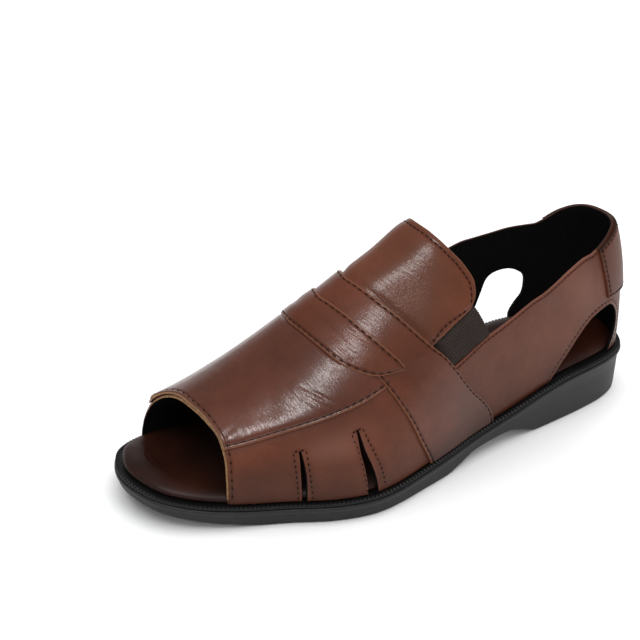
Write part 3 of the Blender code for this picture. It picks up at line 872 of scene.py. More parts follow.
# %% Rows of the upper
TOP_LINE = columns("foot station lateral medial", [
    (0, 0, 99.6, 99.6),
    (9, 9, 100, 100),
    (18, 18, 98.3, 98.7),
    (26, 26, 95.2, 95.9),
    (33, 33, 92.5, 91.7),
    (45, 45, 90.3, 88.4),
    (58, 58, 87.2, 87.7),
    (80, 80, 79.8, 84.8),
    (102, 100, 72.8, 79.6),
    (124, 120, 66.1, 71.2),
    (146, 136, 59.9, 62.9),
])
THROAT = columns("station girth lateral medial rise", [
    (145.6, 34.7, 176, 180, 0),
    (156.7, 44.5, 206, 214, 0),
    (162.1, 53.6, 234, 246, 0),
    (166.4, 61.7, 252.6, 266.5, 0),
    (168.5, 66.5, 252.1, 265.4, 17),
    (170.3, 71.1, 251.0, 263.8, 34),
    (171.7, 75.4, 250.8, 262.2, 50),
    (172.8, 79.5, 252.4, 259.6, 64),
    (173.6, 85.0, 254.2, 257.4, 78),
    (174.2, 90, 255.8, 255.8, 90),
])


def top_height(station, side):
    """Height of the quarter's top line."""
    column = TOP_LINE["lateral" if side > 0 else "medial"]
    return smooth(TOP_LINE["station"], column, np.abs(station)) * BACK_HEIGHT * PERCENT


def wall_rows(side, column):
    """Rows of one half of the upper, from the back of the heel to the ridge over the toes."""
    rows = []
    for low, high in table_rows(TOP_LINE, "foot station"):
        rows.append((low, 0, high, float(girth_at(high, top_height(high, side), side))))
    return rows + table_rows(THROAT, column + " rise station girth")


lateral_rows, medial_rows = wall_rows(1, "lateral"), wall_rows(-1, "medial")
upper_panel = Panel(both_sides(lateral_rows, medial_rows), 1.8, closed=True)
ROW_COUNT = len(lateral_rows) + len(medial_rows) - 1
QUARTER_ROWS = len(TOP_LINE["foot"])
print("upper grid:", upper_panel.share.shape)

# %% [markdown]
# Two slits a side let the wall spread at the ball of the foot, and a round cut-out opens each side of the
# heel. They are punched in the flat hide, but here they are drawn as they appear in side view, which is how
# a photograph shows them. A row of stitches frames every one of them.

# %% Cuts in side view
CUTOUT_LATERAL = [
    (26, 15.4), (21, 28.5), (17, 35.5), (15.5, 43.5), (17.5, 50.5), (23.5, 56.8), (31.5, 56.4),
    (40, 53.3), (47.5, 47.7), (55, 39.6), (61, 33), (69, 22.4), (71, 14.9),
]
CUTOUT_MEDIAL = [
    (47, 15.2), (47, 31.2), (44, 37.2), (40.5, 42.3), (39.8, 48.3), (41, 54.3), (45, 57.7),
    (50, 60.1), (55, 60.6), (61, 59.5), (64.7, 56.6), (67, 49.9), (72, 32.9), (74, 14.8),
]
FRONT_SLIT = columns("station height half", [(219.5, 5, 1.2), (219.5, 23, 1.3), (219.7, 36.4, 0.5)])
REAR_SLIT = columns("station height half", [
    (187.2, 5.4, 3.0),
    (188.4, 17.2, 2.6),
    (190.0, 25.8, 2.0),
    (192.1, 34.4, 1.2),
    (192.9, 43.4, 0.5),
])
SLIT_SEAMS = [
    ((222.2, 222.6, 222.7), (0.5, 13, 27.1)),
    ((222.7, 217.1), (27.1, 27.3)),
    ((217.1, 216.8, 216), (27.3, 13.5, 0.5)),
    ((190.8, 192.1, 193.5, 195.9), (1.1, 9.8, 18.3, 29.1)),
    ((195.9, 190.3), (29.1, 29.6)),
    ((190.3, 188.3, 185.7, 183.1, 181), (29.6, 23.8, 17.5, 11.1, 2.9)),
]
HOLE_SEAM, SEAM_FOOT = 2.2, 3.2


def slit_outline(table):
    """Outline of a slit from its half widths."""
    heights = np.linspace(table["height"][0], table["height"][-1], 14)
    middle = smooth(table["height"], table["station"], heights)
    half = smooth(table["height"], table["half"], heights)
    return np.vstack([np.column_stack([middle - half, heights]),
                      np.column_stack([middle + half, heights])[::-1]])


def side_view(x, height, side):
    """Station and girth of points that are given in side view."""
    stations = np.linspace(0, 120, 481)[:, None]
    girths = girth_at(stations, np.asarray(height, float)[None, :], side)
    turned = girths if side > 0 else FULL_GIRTH - girths
    reach = last_point(np.broadcast_to(stations, girths.shape), turned)[..., 0]
    found = [np.interp(a, reach[:, k], stations[:, 0]) for k, a in enumerate(x)]
    girth = girth_at(np.array(found), np.asarray(height, float), side)
    return np.array(found), girth if side > 0 else FULL_GIRTH - girth


def grown(outline_points, distance):
    """An outline in side view, moved outward."""
    along = np.roll(outline_points, -1, axis=0) - np.roll(outline_points, 1, axis=0)
    along /= np.linalg.norm(along, axis=1)[:, None]
    out = np.column_stack([-along[:, 1], along[:, 0]])
    centre = outline_points.mean(axis=0)
    facing = np.sign(((outline_points - centre) * out).sum())
    return outline_points + facing * distance * out


hole_lateral = closed_curve(np.array(CUTOUT_LATERAL, float), 120)
hole_medial = closed_curve(np.array(CUTOUT_MEDIAL, float), 120)
hole_seams = []
for side, hole in ((1, hole_lateral), (-1, hole_medial)):
    frame_line = grown(hole, HOLE_SEAM)
    above = frame_line[:, 1] > edge(frame_line[:, 0]) + SEAM_FOOT
    first = int(np.argmax(above & ~np.roll(above, 1)))
    frame_line, above = np.roll(frame_line, -first, axis=0), np.roll(above, -first)
    hole_seams.append(side_view(frame_line[above, 0], frame_line[above, 1], side))
slit_seams = []
for stations, girths in SLIT_SEAMS:
    share, fine = np.linspace(0, 1, len(stations)), np.linspace(0, 1, 12)
    station = np.interp(fine, share, stations)
    if len(stations) > 2:
        station = smooth(share, np.array(stations, float), fine)
    girth = np.interp(fine, share, girths)
    slit_seams += [(station, girth), (station, FULL_GIRTH - girth)]
print("seams round cuts:", len(hole_seams) + len(slit_seams))

# %% [markdown]
# The wall is one layer of waxed hide, black inside, and raw where it is cut open at the toe. Dye gathers
# along its seams. Painted shade darkens it toward the welt and low on the front of the wing, and a painted
# sheen makes it paler on the wing between the slits and beside the heel. An image could hold these tones,
# but a value painted on the points follows every edge without a map of its own.

# %% Upper wall
WALL = 1.6
OPENING_SEAM, TOP_SEAM = 2.2, 1.8
HEEL_ROWS = 4.3
# Painted sheen (tone below zero) on the wing between the slits and beside the heel; painted shade (above
# zero) low on the front of the wing.
PAINTED_SHEEN_AND_SHADE = columns("tone station reach girth spread", [
    (-0.4, 204, 18, 25, 7),
    (-0.3, 45, 18, 24, 9),
    (0.2, 238, 13, 17, 9),
])
front_girth = upper_panel.girth[:, :1]
at_opening = (front_girth > 1) & (front_girth < FULL_GIRTH - 1)
last_quarter = ROW_COUNT - QUARTER_ROWS - 0.5
at_top_line = ((upper_panel.spot < QUARTER_ROWS - 0.5) | (upper_panel.spot > last_quarter))[:, None]
middle_row = (ROW_COUNT - 1) / 2
at_heel = (np.abs(upper_panel.spot - middle_row) > middle_row - HEEL_ROWS)[:, None]
relief = np.where(at_opening, groove(upper_panel.front, OPENING_SEAM), 0)
relief += np.where(at_top_line, groove(upper_panel.rear, TOP_SEAM), 0)
dye_wear_and_painted_light = np.where(at_opening, 0.35 * band(upper_panel.front, OPENING_SEAM, 0.7), 0)
dye_wear_and_painted_light += np.where(at_top_line, 0.35 * band(upper_panel.rear, TOP_SEAM, 0.7), 0)
rim_tone = np.where(at_heel | (upper_panel.girth > RIDGE_GIRTH), 0.8, -0.25)
dye_wear_and_painted_light += np.where(at_top_line, rim_tone * band(upper_panel.rear, 0, 0.8), 0)
up_wall = np.minimum(upper_panel.girth, FULL_GIRTH - upper_panel.girth)
# Paint the sheen and shade of the areas in the table above.
for tone, station, reach, girth, spread in zip(*PAINTED_SHEEN_AND_SHADE.values()):
    dye_wear_and_painted_light += tone * band(np.abs(upper_panel.station), station, reach) * band(up_wall, girth, spread)
# Painted shade: the wall darkens toward the welt.
dye_wear_and_painted_light += painted_low_shade(upper_panel)
for stations, girths in hole_seams + slit_seams:
    pulled = crease(upper_panel, stations, girths, 1, 0.8)
    relief += 0.25 * pulled
    dye_wear_and_painted_light -= 0.35 * pulled
for half in (1, -1):
    girth = girth_at(REAR_SLIT["station"], REAR_SLIT["height"], half)
    girth = girth if half > 0 else FULL_GIRTH - girth
    relief += crease(upper_panel, REAR_SLIT["station"], girth, -0.5, 3.0)
upper = upper_panel.build(
    "upper_wall", -WALL, 0.0, relief, [WAXED, LINING, CUT_EDGE], "waxed_leather", ["upper"], dye_wear_and_painted_light,
    raw=("front",), slant=np.where(at_opening, 0.9, 0.0))

# %% [markdown]
# The cuts are taken out of the wall with a Boolean, which leaves clean edges whatever grid they cross. Each
# cutter is a bar with the outline in side view. Its sides have the finish of the lining, so the cut faces
# come out black like the lining that is turned round them.

# %% Cutting the wall
CUT_INNER, CUT_OUTER = 4.0, 70.0


def cut(piece, points, inner, outer):
    """Take a bar with the given outline in side view out of a piece."""
    mesh = bmesh.new()
    face = mesh.faces.new([mesh.verts.new((x, inner, z)) for x, z in points])
    moved = bmesh.ops.extrude_face_region(mesh, geom=[face])["geom"]
    ends = [item for item in moved if isinstance(item, bmesh.types.BMVert)]
    bmesh.ops.translate(mesh, verts=ends, vec=(0, outer - inner, 0))
    bmesh.ops.translate(mesh, verts=mesh.verts, vec=-ORIGIN)
    bmesh.ops.scale(mesh, verts=mesh.verts, vec=(MM, MM, MM))
    bmesh.ops.recalc_face_normals(mesh, faces=mesh.faces)
    for side in mesh.faces:
        side.material_index = 1
    data = bpy.data.meshes.new("cutter")
    mesh.to_mesh(data)
    mesh.free()
    for finish in piece.data.materials:
        data.materials.append(finish)
    tool = bpy.data.objects.new("cutter", data)
    bpy.context.scene.collection.objects.link(tool)
    step = piece.modifiers.new("cut", "BOOLEAN")
    step.operation, step.solver, step.object = "DIFFERENCE", "EXACT", tool
    result = piece.evaluated_get(bpy.context.evaluated_depsgraph_get())
    cut_mesh = bpy.data.meshes.new_from_object(result)
    piece.modifiers.clear()
    piece.data = cut_mesh
    bpy.data.objects.remove(tool, do_unlink=True)
    piece.data.set_sharp_from_angle(angle=SHARP_ANGLE)


cut(upper, hole_lateral, CUT_INNER, CUT_OUTER)
cut(upper, hole_medial, -CUT_OUTER, -CUT_INNER)
cut(upper, slit_outline(FRONT_SLIT), -CUT_OUTER, CUT_OUTER)
cut(upper, slit_outline(REAR_SLIT), -CUT_OUTER, CUT_OUTER)
print("upper after the cuts:", len(upper.data.polygons), "faces")

# %% [markdown]
# ## Panels on the vamp
# Over the wall lie the plug on top of the toes, the saddle across the instep, and the keeper, a thick band
# over the join of both. The plug is sewn down the sides and left raw at the toe, with a soft bead inside
# its seams. Walking has creased it: the creases are drawn as troughs and ridges along lines on the last.

# %% Plug
PLUG = columns("lateral medial rise rear rear_girth", [
    (250.9, 263.1, 39.6, 171.0, 37.6),
    (250.8, 262.3, 48, 175.2, 44.0),
    (251.8, 260.8, 58, 181.4, 49.4),
    (253.0, 258.8, 69, 188.3, 56.8),
    (254.4, 257.2, 79, 192.9, 67.2),
    (255.4, 256.2, 86, 195.4, 80),
    (255.8, 255.8, 90, 196.3, 90),
])
PLUG_FRONT_SEAM, PLUG_SIDE_SEAM = 2.0, 1.6
plug = Panel(both_sides(table_rows(PLUG, "lateral rise rear rear_girth"),
                        table_rows(PLUG, "medial rise rear rear_girth")), 1.0)
side_gap = np.minimum(plug.start, plug.end)
toward_toe = np.clip((plug.station - 195) / 30, 0, 1)
bead = swell(side_gap, 0.82 * band(side_gap, 3.8, 6), 2)
relief = groove(plug.front, 2.2) + groove(side_gap, PLUG_SIDE_SEAM, 0.35) + toward_toe * bead
relief += (1 - toward_toe) * swell(side_gap, 0.35, 5)
relief -= 1.1 * band(plug.rear, 0, 4.2, power=4)
dye_wear_and_painted_light = 0.35 * band(plug.front, PLUG_FRONT_SEAM, 0.6) + 0.4 * band(side_gap, 1.7, 0.6)
dye_wear_and_painted_light -= 0.8 * band(side_gap, 0, 1.0) + 0.5 * band(plug.front, 0, 0.8)
PLUG_CREASES = [
    ((210.9, 207.6, 203.3, 199.6), (58.5, 52.7, 46.9, 43.2), 0.3, 0.8),
    ((213.2, 210.2, 206.4, 203.2), (57, 51.4, 46, 42.6), 0.25, 0.7),
    ((208.0, 205.6, 202.4), (56, 51, 46.6), 0.15, 0.6),
    ((217, 215, 212, 208), (64, 56, 49, 43), 0.12, 0.8),
    ((214, 212, 209, 205), (64, 56, 49, 42), -0.25, 3.0),
    ((250.8, 247.1, 242.7), (46.5, 50.7, 53.2), 0.2, 1.4),
    ((246.2, 242.1, 240.2), (43.4, 45.3, 50.4), 0.15, 1.6),
    ((227, 225, 223), (44, 56, 70), 0.25, 3.5),
    ((235, 234, 233), (46, 60, 74), -0.2, 4.0),
]
for stations, girths, depth, half in PLUG_CREASES:
    relief += crease(plug, stations, girths, depth, half)
plug.build("plug_panel", 0.2, 1.6, relief, [POLISHED, LINING, CUT_EDGE], "polished_leather", ["plug"], dye_wear_and_painted_light,
           raw=("front",), slant=0.4)

# %% [markdown]
# The saddle is one strap from welt to welt over the instep, narrow on top and wide at its feet. A strip
# bent along one curve would keep its width, so it is a table of rows like the other panels. The rear edge
# is sewn all along, and the front edge only below the keeper.

# %% Saddle
SADDLE = columns("front front_girth rear rear_girth", [
    (152.0, 0, 107.0, 0),
    (159.2, 10.0, 113.8, 3.2),
    (165.8, 21.9, 121.9, 7.9),
    (172.3, 33.3, 129.8, 14.9),
    (178.2, 44.2, 136.3, 22.5),
    (172.6, 44.0, 141.6, 29.5),
    (166.5, 41.8, 147.2, 36.5),
    (170.5, 48.0, 154.7, 47.4),
    (176.2, 59.0, 160.4, 57.4),
    (181.0, 69.8, 165.5, 68.0),
    (184.0, 81.6, 169.1, 79.5),
    (185.3, 90.0, 170.6, 90.0),
])
SADDLE_FRONT_SEAM, SADDLE_REAR_SEAM = 1.5, 1.3
KEEPER_ROWS = 6.5
saddle = mirrored_panel(SADDLE, 1.0)
low_front = np.abs(saddle.spot - (len(saddle.table) - 1) / 2)[:, None] > KEEPER_ROWS
relief = np.where(low_front, groove(saddle.front, SADDLE_FRONT_SEAM, 0.3), 0)
relief += groove(saddle.rear, SADDLE_REAR_SEAM, 0.3)
dye_wear_and_painted_light = dyed_seam(saddle.rear, 1.5) + np.where(low_front, dyed_seam(saddle.front, 1.7), 0)
# Painted shade: the saddle's feet darken toward the welt.
dye_wear_and_painted_light += 1.6 * painted_low_shade(saddle)
saddle.build("saddle_panel", -0.2, 1.6, relief, [BRUSHED, LINING, CUT_EDGE], "polished_leather", ["saddle"],
             dye_wear_and_painted_light)

# %% [markdown]
# The keeper is a half-moon of two layers, so it stands higher and swells between its seams. A fold along
# its middle, left by walking, runs down on both sides. A sculpted fold would look alike; a line of points
# is shorter.

# %% Keeper
KEEPER = columns("front front_girth rear rear_girth", [
    (164.9, 38.7, 163.9, 39.5),
    (171.3, 40.8, 165.6, 42.6),
    (178.3, 43.6, 168.6, 47.1),
    (184.6, 48.1, 171.7, 52.4),
    (191.5, 55.7, 175.0, 59.0),
    (195.9, 66.1, 178.6, 67.5),
    (198.8, 79.0, 182.2, 79.5),
    (199.8, 90.0, 183.8, 90.0),
])
KEEPER_FOLD = columns("station girth", [
    (190.6, 84),
    (190, 76),
    (189, 68.3),
    (187.2, 63.6),
    (185.2, 54.6),
    (182, 50),
])
KEEPER_SEAM = 1.4
keeper = mirrored_panel(KEEPER, 0.9)
keeper_gap = np.minimum(keeper.front, keeper.rear)
relief = groove(keeper_gap, KEEPER_SEAM, 0.3) + swell(keeper_gap, 0.5, 5)
dye_wear_and_painted_light = dyed_seam(keeper_gap, 1.6)
for girths in (KEEPER_FOLD["girth"], FULL_GIRTH - KEEPER_FOLD["girth"]):
    relief += crease(keeper, KEEPER_FOLD["station"], girths, 0.5, 3.2)
keeper.build("keeper_band", -0.2, 2.6, relief, [BRUSHED, LINING, CUT_EDGE], "polished_leather", ["keeper"],
             dye_wear_and_painted_light)

# %% [markdown]
# ## Tongue, gores and counter
# The tongue is padded with foam. It stands up in a crown along the ridge of the foot and drops toward its
# flanks, where the gores pull it down. A cloth simulation could blow it up, but the crown decides where its
# long highlight lies, so its profile is written down in numbers.

# %% Tongue
TONGUE = columns("front front_girth rear rear_girth", [
    (147.0, 36.6, 123.8, 35.3),
    (150.8, 38.8, 119.7, 38.6),
    (155.4, 44.5, 118.9, 43.5),
    (161.9, 55.8, 123.0, 55.0),
    (167.3, 67.1, 128.1, 67.3),
    (171.3, 79.4, 131.8, 80.2),
    (172.5, 90.0, 132.8, 90.0),
])
TONGUE_SEAM, TONGUE_SIDE_SEAM = 3.4, 3.0
tongue = mirrored_panel(TONGUE, 1.0)
tongue_gap = np.minimum(tongue.rear, np.minimum(tongue.start, tongue.end))
from_ridge = tongue.start - tongue.start[np.abs(tongue.spot - (len(tongue.table) - 1) / 2).argmin()]
crown = 3.8 * band(from_ridge, 0, 19.5 + 2 * tongue.share, power=3)
flank = swell(np.minimum(tongue.start, tongue.end), 2.5, 12)
tongue_relief = groove(tongue_gap, TONGUE_SEAM, 0.25, 0.7) + crown - flank
tongue_relief -= 0.9 * band(tongue.front, 0, 6, power=4) + 0.8 * band(tongue.rear, 0, 5)
dye_wear_and_painted_light = 0.4 * band(tongue_gap, TONGUE_SEAM, 0.7) - 0.5 * band(tongue_gap, 0, 0.9) - 0.15
tongue_piece = tongue.build(
    "tongue_padded", -2.6 - 0.8 * flank, 0.0, tongue_relief, [BRUSHED, LINING, CUT_EDGE],
    "polished_leather", ["tongue"], dye_wear_and_painted_light)

# %% [markdown]
# A gore of ribbed elastic joins each side of the tongue to the quarter, so that the foot can slip in. It is
# tucked under its neighbours, where it is sewn. Its ribs could be a bump, but they are wide enough to
# model.

# %% Gores
GORE = columns("top top_girth foot", [
    (148.3, 38.6, 139.2),
    (144.3, 38.4, 135.2),
    (137.6, 37.9, 127.0),
    (130.5, 37.4, 119.0),
    (123.1, 37.8, 110.5),
])
GORE_TUCK, TUCK_DEPTH = 3.0, 3.2
GORE_RIB_HEIGHT, GORE_RIB_PITCH = 0.35, 1.6
for name, side in (("gore_lateral", 1), ("gore_medial", -1)):
    rows = []
    for top, top_angle, low in table_rows(GORE, "top top_girth foot"):
        rows.append((top, top_angle, low, float(girth_at(low, top_height(low, side), side)) - GORE_TUCK))
    if side < 0:
        rows = [(a, FULL_GIRTH - b, c, FULL_GIRTH - d) for a, b, c, d in rows]
    gore = Panel(rows, 0.25)
    sewn_edge = np.minimum(gore.start, np.minimum(gore.front, gore.rear))
    tucked = TUCK_DEPTH * band(sewn_edge, 0, 3.2)
    relief = GORE_RIB_HEIGHT * np.cos(2 * np.pi * gore.front / GORE_RIB_PITCH) - tucked
    gore.build(name + "_ribbed", -1.7 - tucked, -0.5, relief, [ELASTIC, ELASTIC, ELASTIC], "gore_elastic",
               [name])

# %% [markdown]
# The counter is a second layer of hide that stiffens the back of the heel. It could be a thickened copy of
# the wall, but with a table of its own its edges are drawn freely. Stations on the medial side are below
# zero here, so one table crosses the heel in a single run.

# %% Counter
COUNTER_STATIONS = columns("foot top", [
    (28, 35),
    (22.5, 25),
    (16, 16),
    (8, 8),
    (0, 0),
    (-8, -8),
    (-16, -16),
    (-22.5, -25),
    (-28, -35),
])
COUNTER_FOOT = 61.4
COUNTER_DROP = 0.8
COUNTER_SEAM, COUNTER_TOP_SEAM = 1.5, 1.8
counter_rows = []
for low, top in table_rows(COUNTER_STATIONS, "foot top"):
    side = 1 if top >= 0 else -1
    high = girth_at(top, top_height(top, side) - COUNTER_DROP, side)
    counter_rows.append((low, float(girth_at(low, COUNTER_FOOT, side)), top, float(high)))
counter = Panel(counter_rows, 1.0)
counter_gap = np.minimum(counter.front, np.minimum(counter.start, counter.end))
relief = groove(counter_gap, COUNTER_SEAM, 0.3) + groove(counter.rear, COUNTER_TOP_SEAM, 0.25)
dye_wear_and_painted_light = 0.4 * band(counter_gap, 1.6, 0.6) + 0.9 * band(counter.rear, 0, 1.4)
counter.build("heel_counter", -0.2, 1.6, relief, [WAXED, LINING, CUT_EDGE], "waxed_leather", ["counter"],
              dye_wear_and_painted_light)

# %% [markdown]
# ## Stitches
# Machine stitches are about 2 mm long. Each one is a small rice grain that dips into the leather at both
# ends, and one function lays them along any line on the last. A texture would be lighter, but it would not
# catch the light on the raised thread.

# %% Shape of a stitch
STITCH_RINGS, STITCH_SIDES = 6, 6
STITCH_DIP = 0.12
LINE_SAMPLES = 400
HEADING_STEP = 0.4


def stitch_rows(name, lines, lift, finish, slot, length=2.0, gap=0.9, thick=0.55):
    """Stitches along lines of stations and girths; a lift may change along its line."""
    centre, along, out = [], [], []
    for station, girth in lines:
        station, girth = np.asarray(station, float), np.asarray(girth, float)
        fine = np.linspace(0, 1, LINE_SAMPLES)
        share = np.linspace(0, 1, len(station))
        station, girth = np.interp(fine, share, station), np.interp(fine, share, girth)
        path = last_point(station, girth)
        reach = np.concatenate([[0], np.cumsum(np.linalg.norm(np.diff(path, axis=0), axis=1))])
        count = max(int(reach[-1] / (length + gap)), 1)
        at = (np.arange(count) + 0.5) * reach[-1] / count
        before = np.array([np.interp(at - HEADING_STEP, reach, axis) for axis in path.T])
        after = np.array([np.interp(at + HEADING_STEP, reach, axis) for axis in path.T])
        heading = after.T - before.T
        along.append(heading / np.linalg.norm(heading, axis=1)[:, None])
        out.append(outward(np.interp(at, reach, station), np.interp(at, reach, girth)))
        lifts = np.interp(fine, np.linspace(0, 1, np.size(lift)), np.atleast_1d(lift))
        raised = np.interp(at, reach, lifts)[:, None] * out[-1]
        centre.append(np.array([np.interp(at, reach, axis) for axis in path.T]).T + raised)
    centre, along, out = np.vstack(centre), np.vstack(along), np.vstack(out)
    across = np.cross(out, along)
    rings = np.linspace(-0.96, 0.96, STITCH_RINGS)
    turns = np.linspace(0, 2 * np.pi, STITCH_SIDES + 1)[:-1]
    points = []
    for spot in rings:
        fat = thick / 2 * np.sqrt(1 - spot ** 2) ** 0.7
        middle = centre + spot * length / 2 * along - STITCH_DIP * spot ** 2 * out
        for turn in turns:
            points.append(middle + fat * (np.cos(turn) * across + np.sin(turn) * out))
    grain = np.array(points).transpose(1, 0, 2)
    one = []
    for ring in range(0, (STITCH_RINGS - 1) * STITCH_SIDES, STITCH_SIDES):
        for k in range(STITCH_SIDES):
            m = (k + 1) % STITCH_SIDES
            one.append([ring + k, ring + m, ring + STITCH_SIDES + m, ring + STITCH_SIDES + k])
    last_ring = (STITCH_RINGS - 1) * STITCH_SIDES
    one += [[5, 4, 3, 2], [5, 2, 1, 0]]
    one += [[last_ring + k for k in half] for half in ([0, 1, 2, 3], [0, 3, 4, 5])]
    starts = np.arange(len(grain))[:, None, None] * grain.shape[1]
    faces = (starts + np.array(one)[None]).reshape(-1, 4)
    return make_piece(name, grain.reshape(-1, 3), faces.tolist(), np.zeros(len(faces)), [finish])


print("points in a stitch:", STITCH_RINGS * STITCH_SIDES)

# %% [markdown]
# Every seam has its own stitch: short and heavy at the toe and the slits, long along the laps of the vamp,
# fine round the quarters and of a middle size on tongue and counter. Each row follows the groove that is
# already in its panel, so the thread lies in it.

# %% Rows of stitches
TOE_STITCH = {"length": 1.2, "gap": 2.7, "thick": 0.7}
SLIT_STITCH = {"length": 1.4, "gap": 1.3, "thick": 0.65}
FINE_STITCH = {"length": 1.7, "gap": 0.9, "thick": 0.45}
LAP_STITCH = {"length": 2.4, "gap": 1.4, "thick": 0.7}
LAP_LIFT, KEEPER_LIFT = 1.5, 2.5
TONGUE_SPAN = (0.6, 11.4)
first_medial = ROW_COUNT - QUARTER_ROWS
wing_rows = [upper_panel.line("front", OPENING_SEAM, QUARTER_ROWS + 3.1, QUARTER_ROWS + 5.4),
             upper_panel.line("front", OPENING_SEAM, first_medial - 6.4, first_medial - 4.1)]
top_rows = [upper_panel.line("rear", TOP_SEAM, 4, QUARTER_ROWS - 1),
            upper_panel.line("rear", TOP_SEAM, first_medial, ROW_COUNT - 5)]
stitch_rows("stitches_wings", wing_rows, 0.0, THREAD, "waxed_leather", **TOE_STITCH)
stitch_rows("stitches_slits", slit_seams, 0.0, THREAD, "waxed_leather", **SLIT_STITCH)
stitch_rows("stitches_quarters", top_rows + hole_seams, -0.08, SEAM_THREAD, "waxed_leather", **FINE_STITCH)
plug_front = [plug.line("front", PLUG_FRONT_SEAM)]
stitch_rows("stitches_plug_front", plug_front, LAP_LIFT, THREAD, "polished_leather", **TOE_STITCH)
plug_sides = [plug.line(end, PLUG_SIDE_SEAM) for end in ("start", "end")]
stitch_rows("stitches_plug_seams", plug_sides, LAP_LIFT, SEAM_THREAD, "polished_leather", **LAP_STITCH)
keeper_rows = [keeper.line(end, KEEPER_SEAM, 1, 13) for end in ("front", "rear")]
stitch_rows("stitches_keeper", keeper_rows, KEEPER_LIFT, SEAM_THREAD, "polished_leather", **LAP_STITCH)
saddle_rows = [saddle.line("front", SADDLE_FRONT_SEAM, 0, 4), saddle.line("front", SADDLE_FRONT_SEAM, 18, 22),
               saddle.line("rear", SADDLE_REAR_SEAM)]
stitch_rows("stitches_saddle", saddle_rows, LAP_LIFT, SEAM_THREAD, "polished_leather", **LAP_STITCH)
tongue_row = [tongue.line("rear", TONGUE_SEAM, *TONGUE_SPAN)]
tongue_lift = tongue.height_along(tongue_relief, TONGUE_SEAM, *TONGUE_SPAN) + 0.2
stitch_rows("stitches_tongue", tongue_row, tongue_lift, THREAD, "polished_leather")
side_rows = []
for end in ("start", "end"):
    side_rows.append([values[tongue.rear[0] > 5] for values in tongue.line(end, TONGUE_SIDE_SEAM)])
stitch_rows("stitches_tongue_sides", side_rows, -0.15, THREAD, "polished_leather")
counter_lines = [counter.line(end, COUNTER_SEAM) for end in ("front", "start", "end")]
counter_lines.append(counter.line("rear", COUNTER_TOP_SEAM))
stitch_rows("stitches_counter", counter_lines, LAP_LIFT, THREAD, "waxed_leather")

# %% [markdown]
# ## Camera, light and floor
# The camera stands in front of the toes on the lateral side and looks down at about thirty degrees through
# a short telephoto lens. Its place, turn and focal length were fitted to the outlines of the shoe, so the
# numbers are not round ones.

# %% Camera
CAMERA_AT = np.array([486.81, 490.38, 400.37])
YAW, PITCH, ROLL = 4.164689, 0.510988, 0.030607
lens = bpy.data.cameras.new("camera")
lens.sensor_width, lens.lens = 36.0, 77.735
camera = bpy.data.objects.new("camera", lens)
bpy.context.scene.collection.objects.link(camera)
right = np.array([np.sin(YAW), -np.cos(YAW), 0])
ahead = np.array([np.cos(YAW) * np.cos(PITCH), np.sin(YAW) * np.cos(PITCH), -np.sin(PITCH)])
up = np.cross(right, ahead)
level = np.cos(ROLL) * right + np.sin(ROLL) * up
upright = np.cos(ROLL) * up - np.sin(ROLL) * right
turned = np.eye(4)
turned[:3, :3] = np.column_stack([level, upright, -ahead])
turned[:3, 3] = (CAMERA_AT - ORIGIN) * MM
camera.matrix_world = Matrix(turned.tolist())
bpy.context.scene.camera = camera
print("camera height:", round(turned[2, 3], 3), "m")

# %% [markdown]
# Such a picture is lit in a white studio. A small key softbox above the camera draws the highlights on toe
# and instep. The large boxes overhead and at the side give soft light, and a low strip behind gives the
# rim. One lamp could do several of these jobs, but split in this way a highlight can be placed without
# changing the shadows: the key is seen in reflections only, and the two large boxes are left out of them.

# %% Softboxes
AIM = np.array([0.0, 0.0, 0.05])


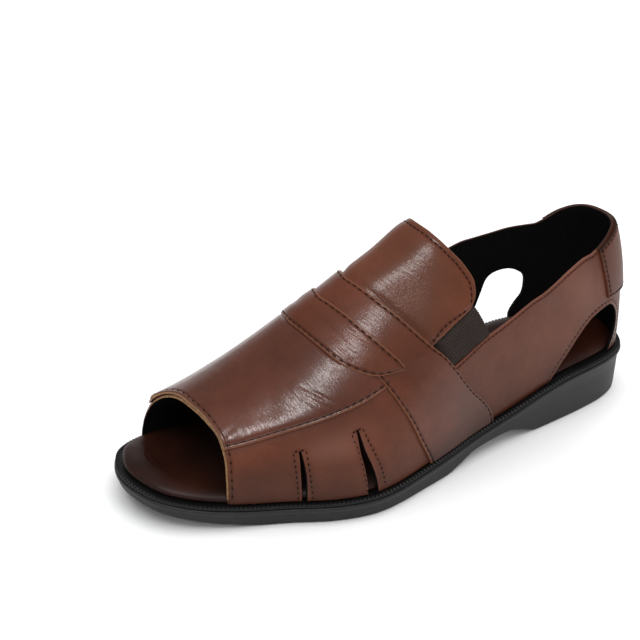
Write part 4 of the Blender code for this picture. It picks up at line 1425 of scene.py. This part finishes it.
def softbox(name, azimuth, elevation, distance, width, height, radiance, reflected=True, diffused=True):
    """A rectangular light of the given brightness that faces the middle of the shoe."""
    lamp = bpy.data.lights.new(name, "AREA")
    lamp.shape, lamp.size, lamp.size_y = "RECTANGLE", width, height
    lamp.energy = radiance * np.pi * width * height
    made = bpy.data.objects.new(name, lamp)
    bpy.context.scene.collection.objects.link(made)
    made.visible_glossy, made.visible_diffuse = reflected, diffused
    a, e = np.radians(azimuth), np.radians(elevation)
    away = np.array([np.cos(a) * np.cos(e), np.sin(a) * np.cos(e), np.sin(e)])
    side = np.array([-np.sin(a), np.cos(a), 0])
    place = np.eye(4)
    place[:3, :3] = np.column_stack([side, np.cross(away, side), away])
    place[:3, 3] = away * distance + AIM
    made.matrix_world = Matrix(place.tolist())
    return made


softbox("key_softbox", azimuth=46, elevation=57.5, distance=1.6, width=0.45, height=0.5, radiance=20,
        diffused=False)
softbox("ceiling_softbox", azimuth=240, elevation=83, distance=1.6, width=2.8, height=2.8, radiance=2.1,
        reflected=False)
softbox("side_softbox", azimuth=95, elevation=25, distance=2.0, width=1.6, height=1.2, radiance=2.0,
        reflected=False)
softbox("rim_softbox", azimuth=235, elevation=14, distance=1.8, width=2.0, height=0.5, radiance=1.0)
room = bpy.data.worlds.new("studio")
room.use_nodes = True
room.node_tree.nodes["Background"].inputs["Color"].default_value = colour("#f4f5f7")
room.node_tree.nodes["Background"].inputs["Strength"].default_value = 0.36
bpy.context.scene.world = room
bpy.context.scene.view_settings.view_transform = "Standard"
print("lights:", [item.name for item in bpy.data.lights])

# %% [markdown]
# The floor is a wide sheet of white paper, so bright that it runs into the background and keeps only a soft
# shadow under the sole. It lies a hair below the tread, so that no two surfaces share a plane.

# %% Floor
FLOOR_HALF, FLOOR_DROP = 4, 0.0002
paper, _, _ = start_finish("seamless_white_paper", Base_Color=colour("#f6f6f6"), Roughness=0.9)
sheet = bpy.data.meshes.new("floor")
corners = [(x * FLOOR_HALF, y * FLOOR_HALF, -FLOOR_DROP) for x, y in ((-1, -1), (1, -1), (1, 1), (-1, 1))]
sheet.from_pydata(corners, [], [(0, 1, 2, 3)])
sheet.materials.append(paper)
floor = bpy.data.objects.new("floor", sheet)
bpy.context.scene.collection.objects.link(floor)
print("floor:", 2 * FLOOR_HALF, "m wide")
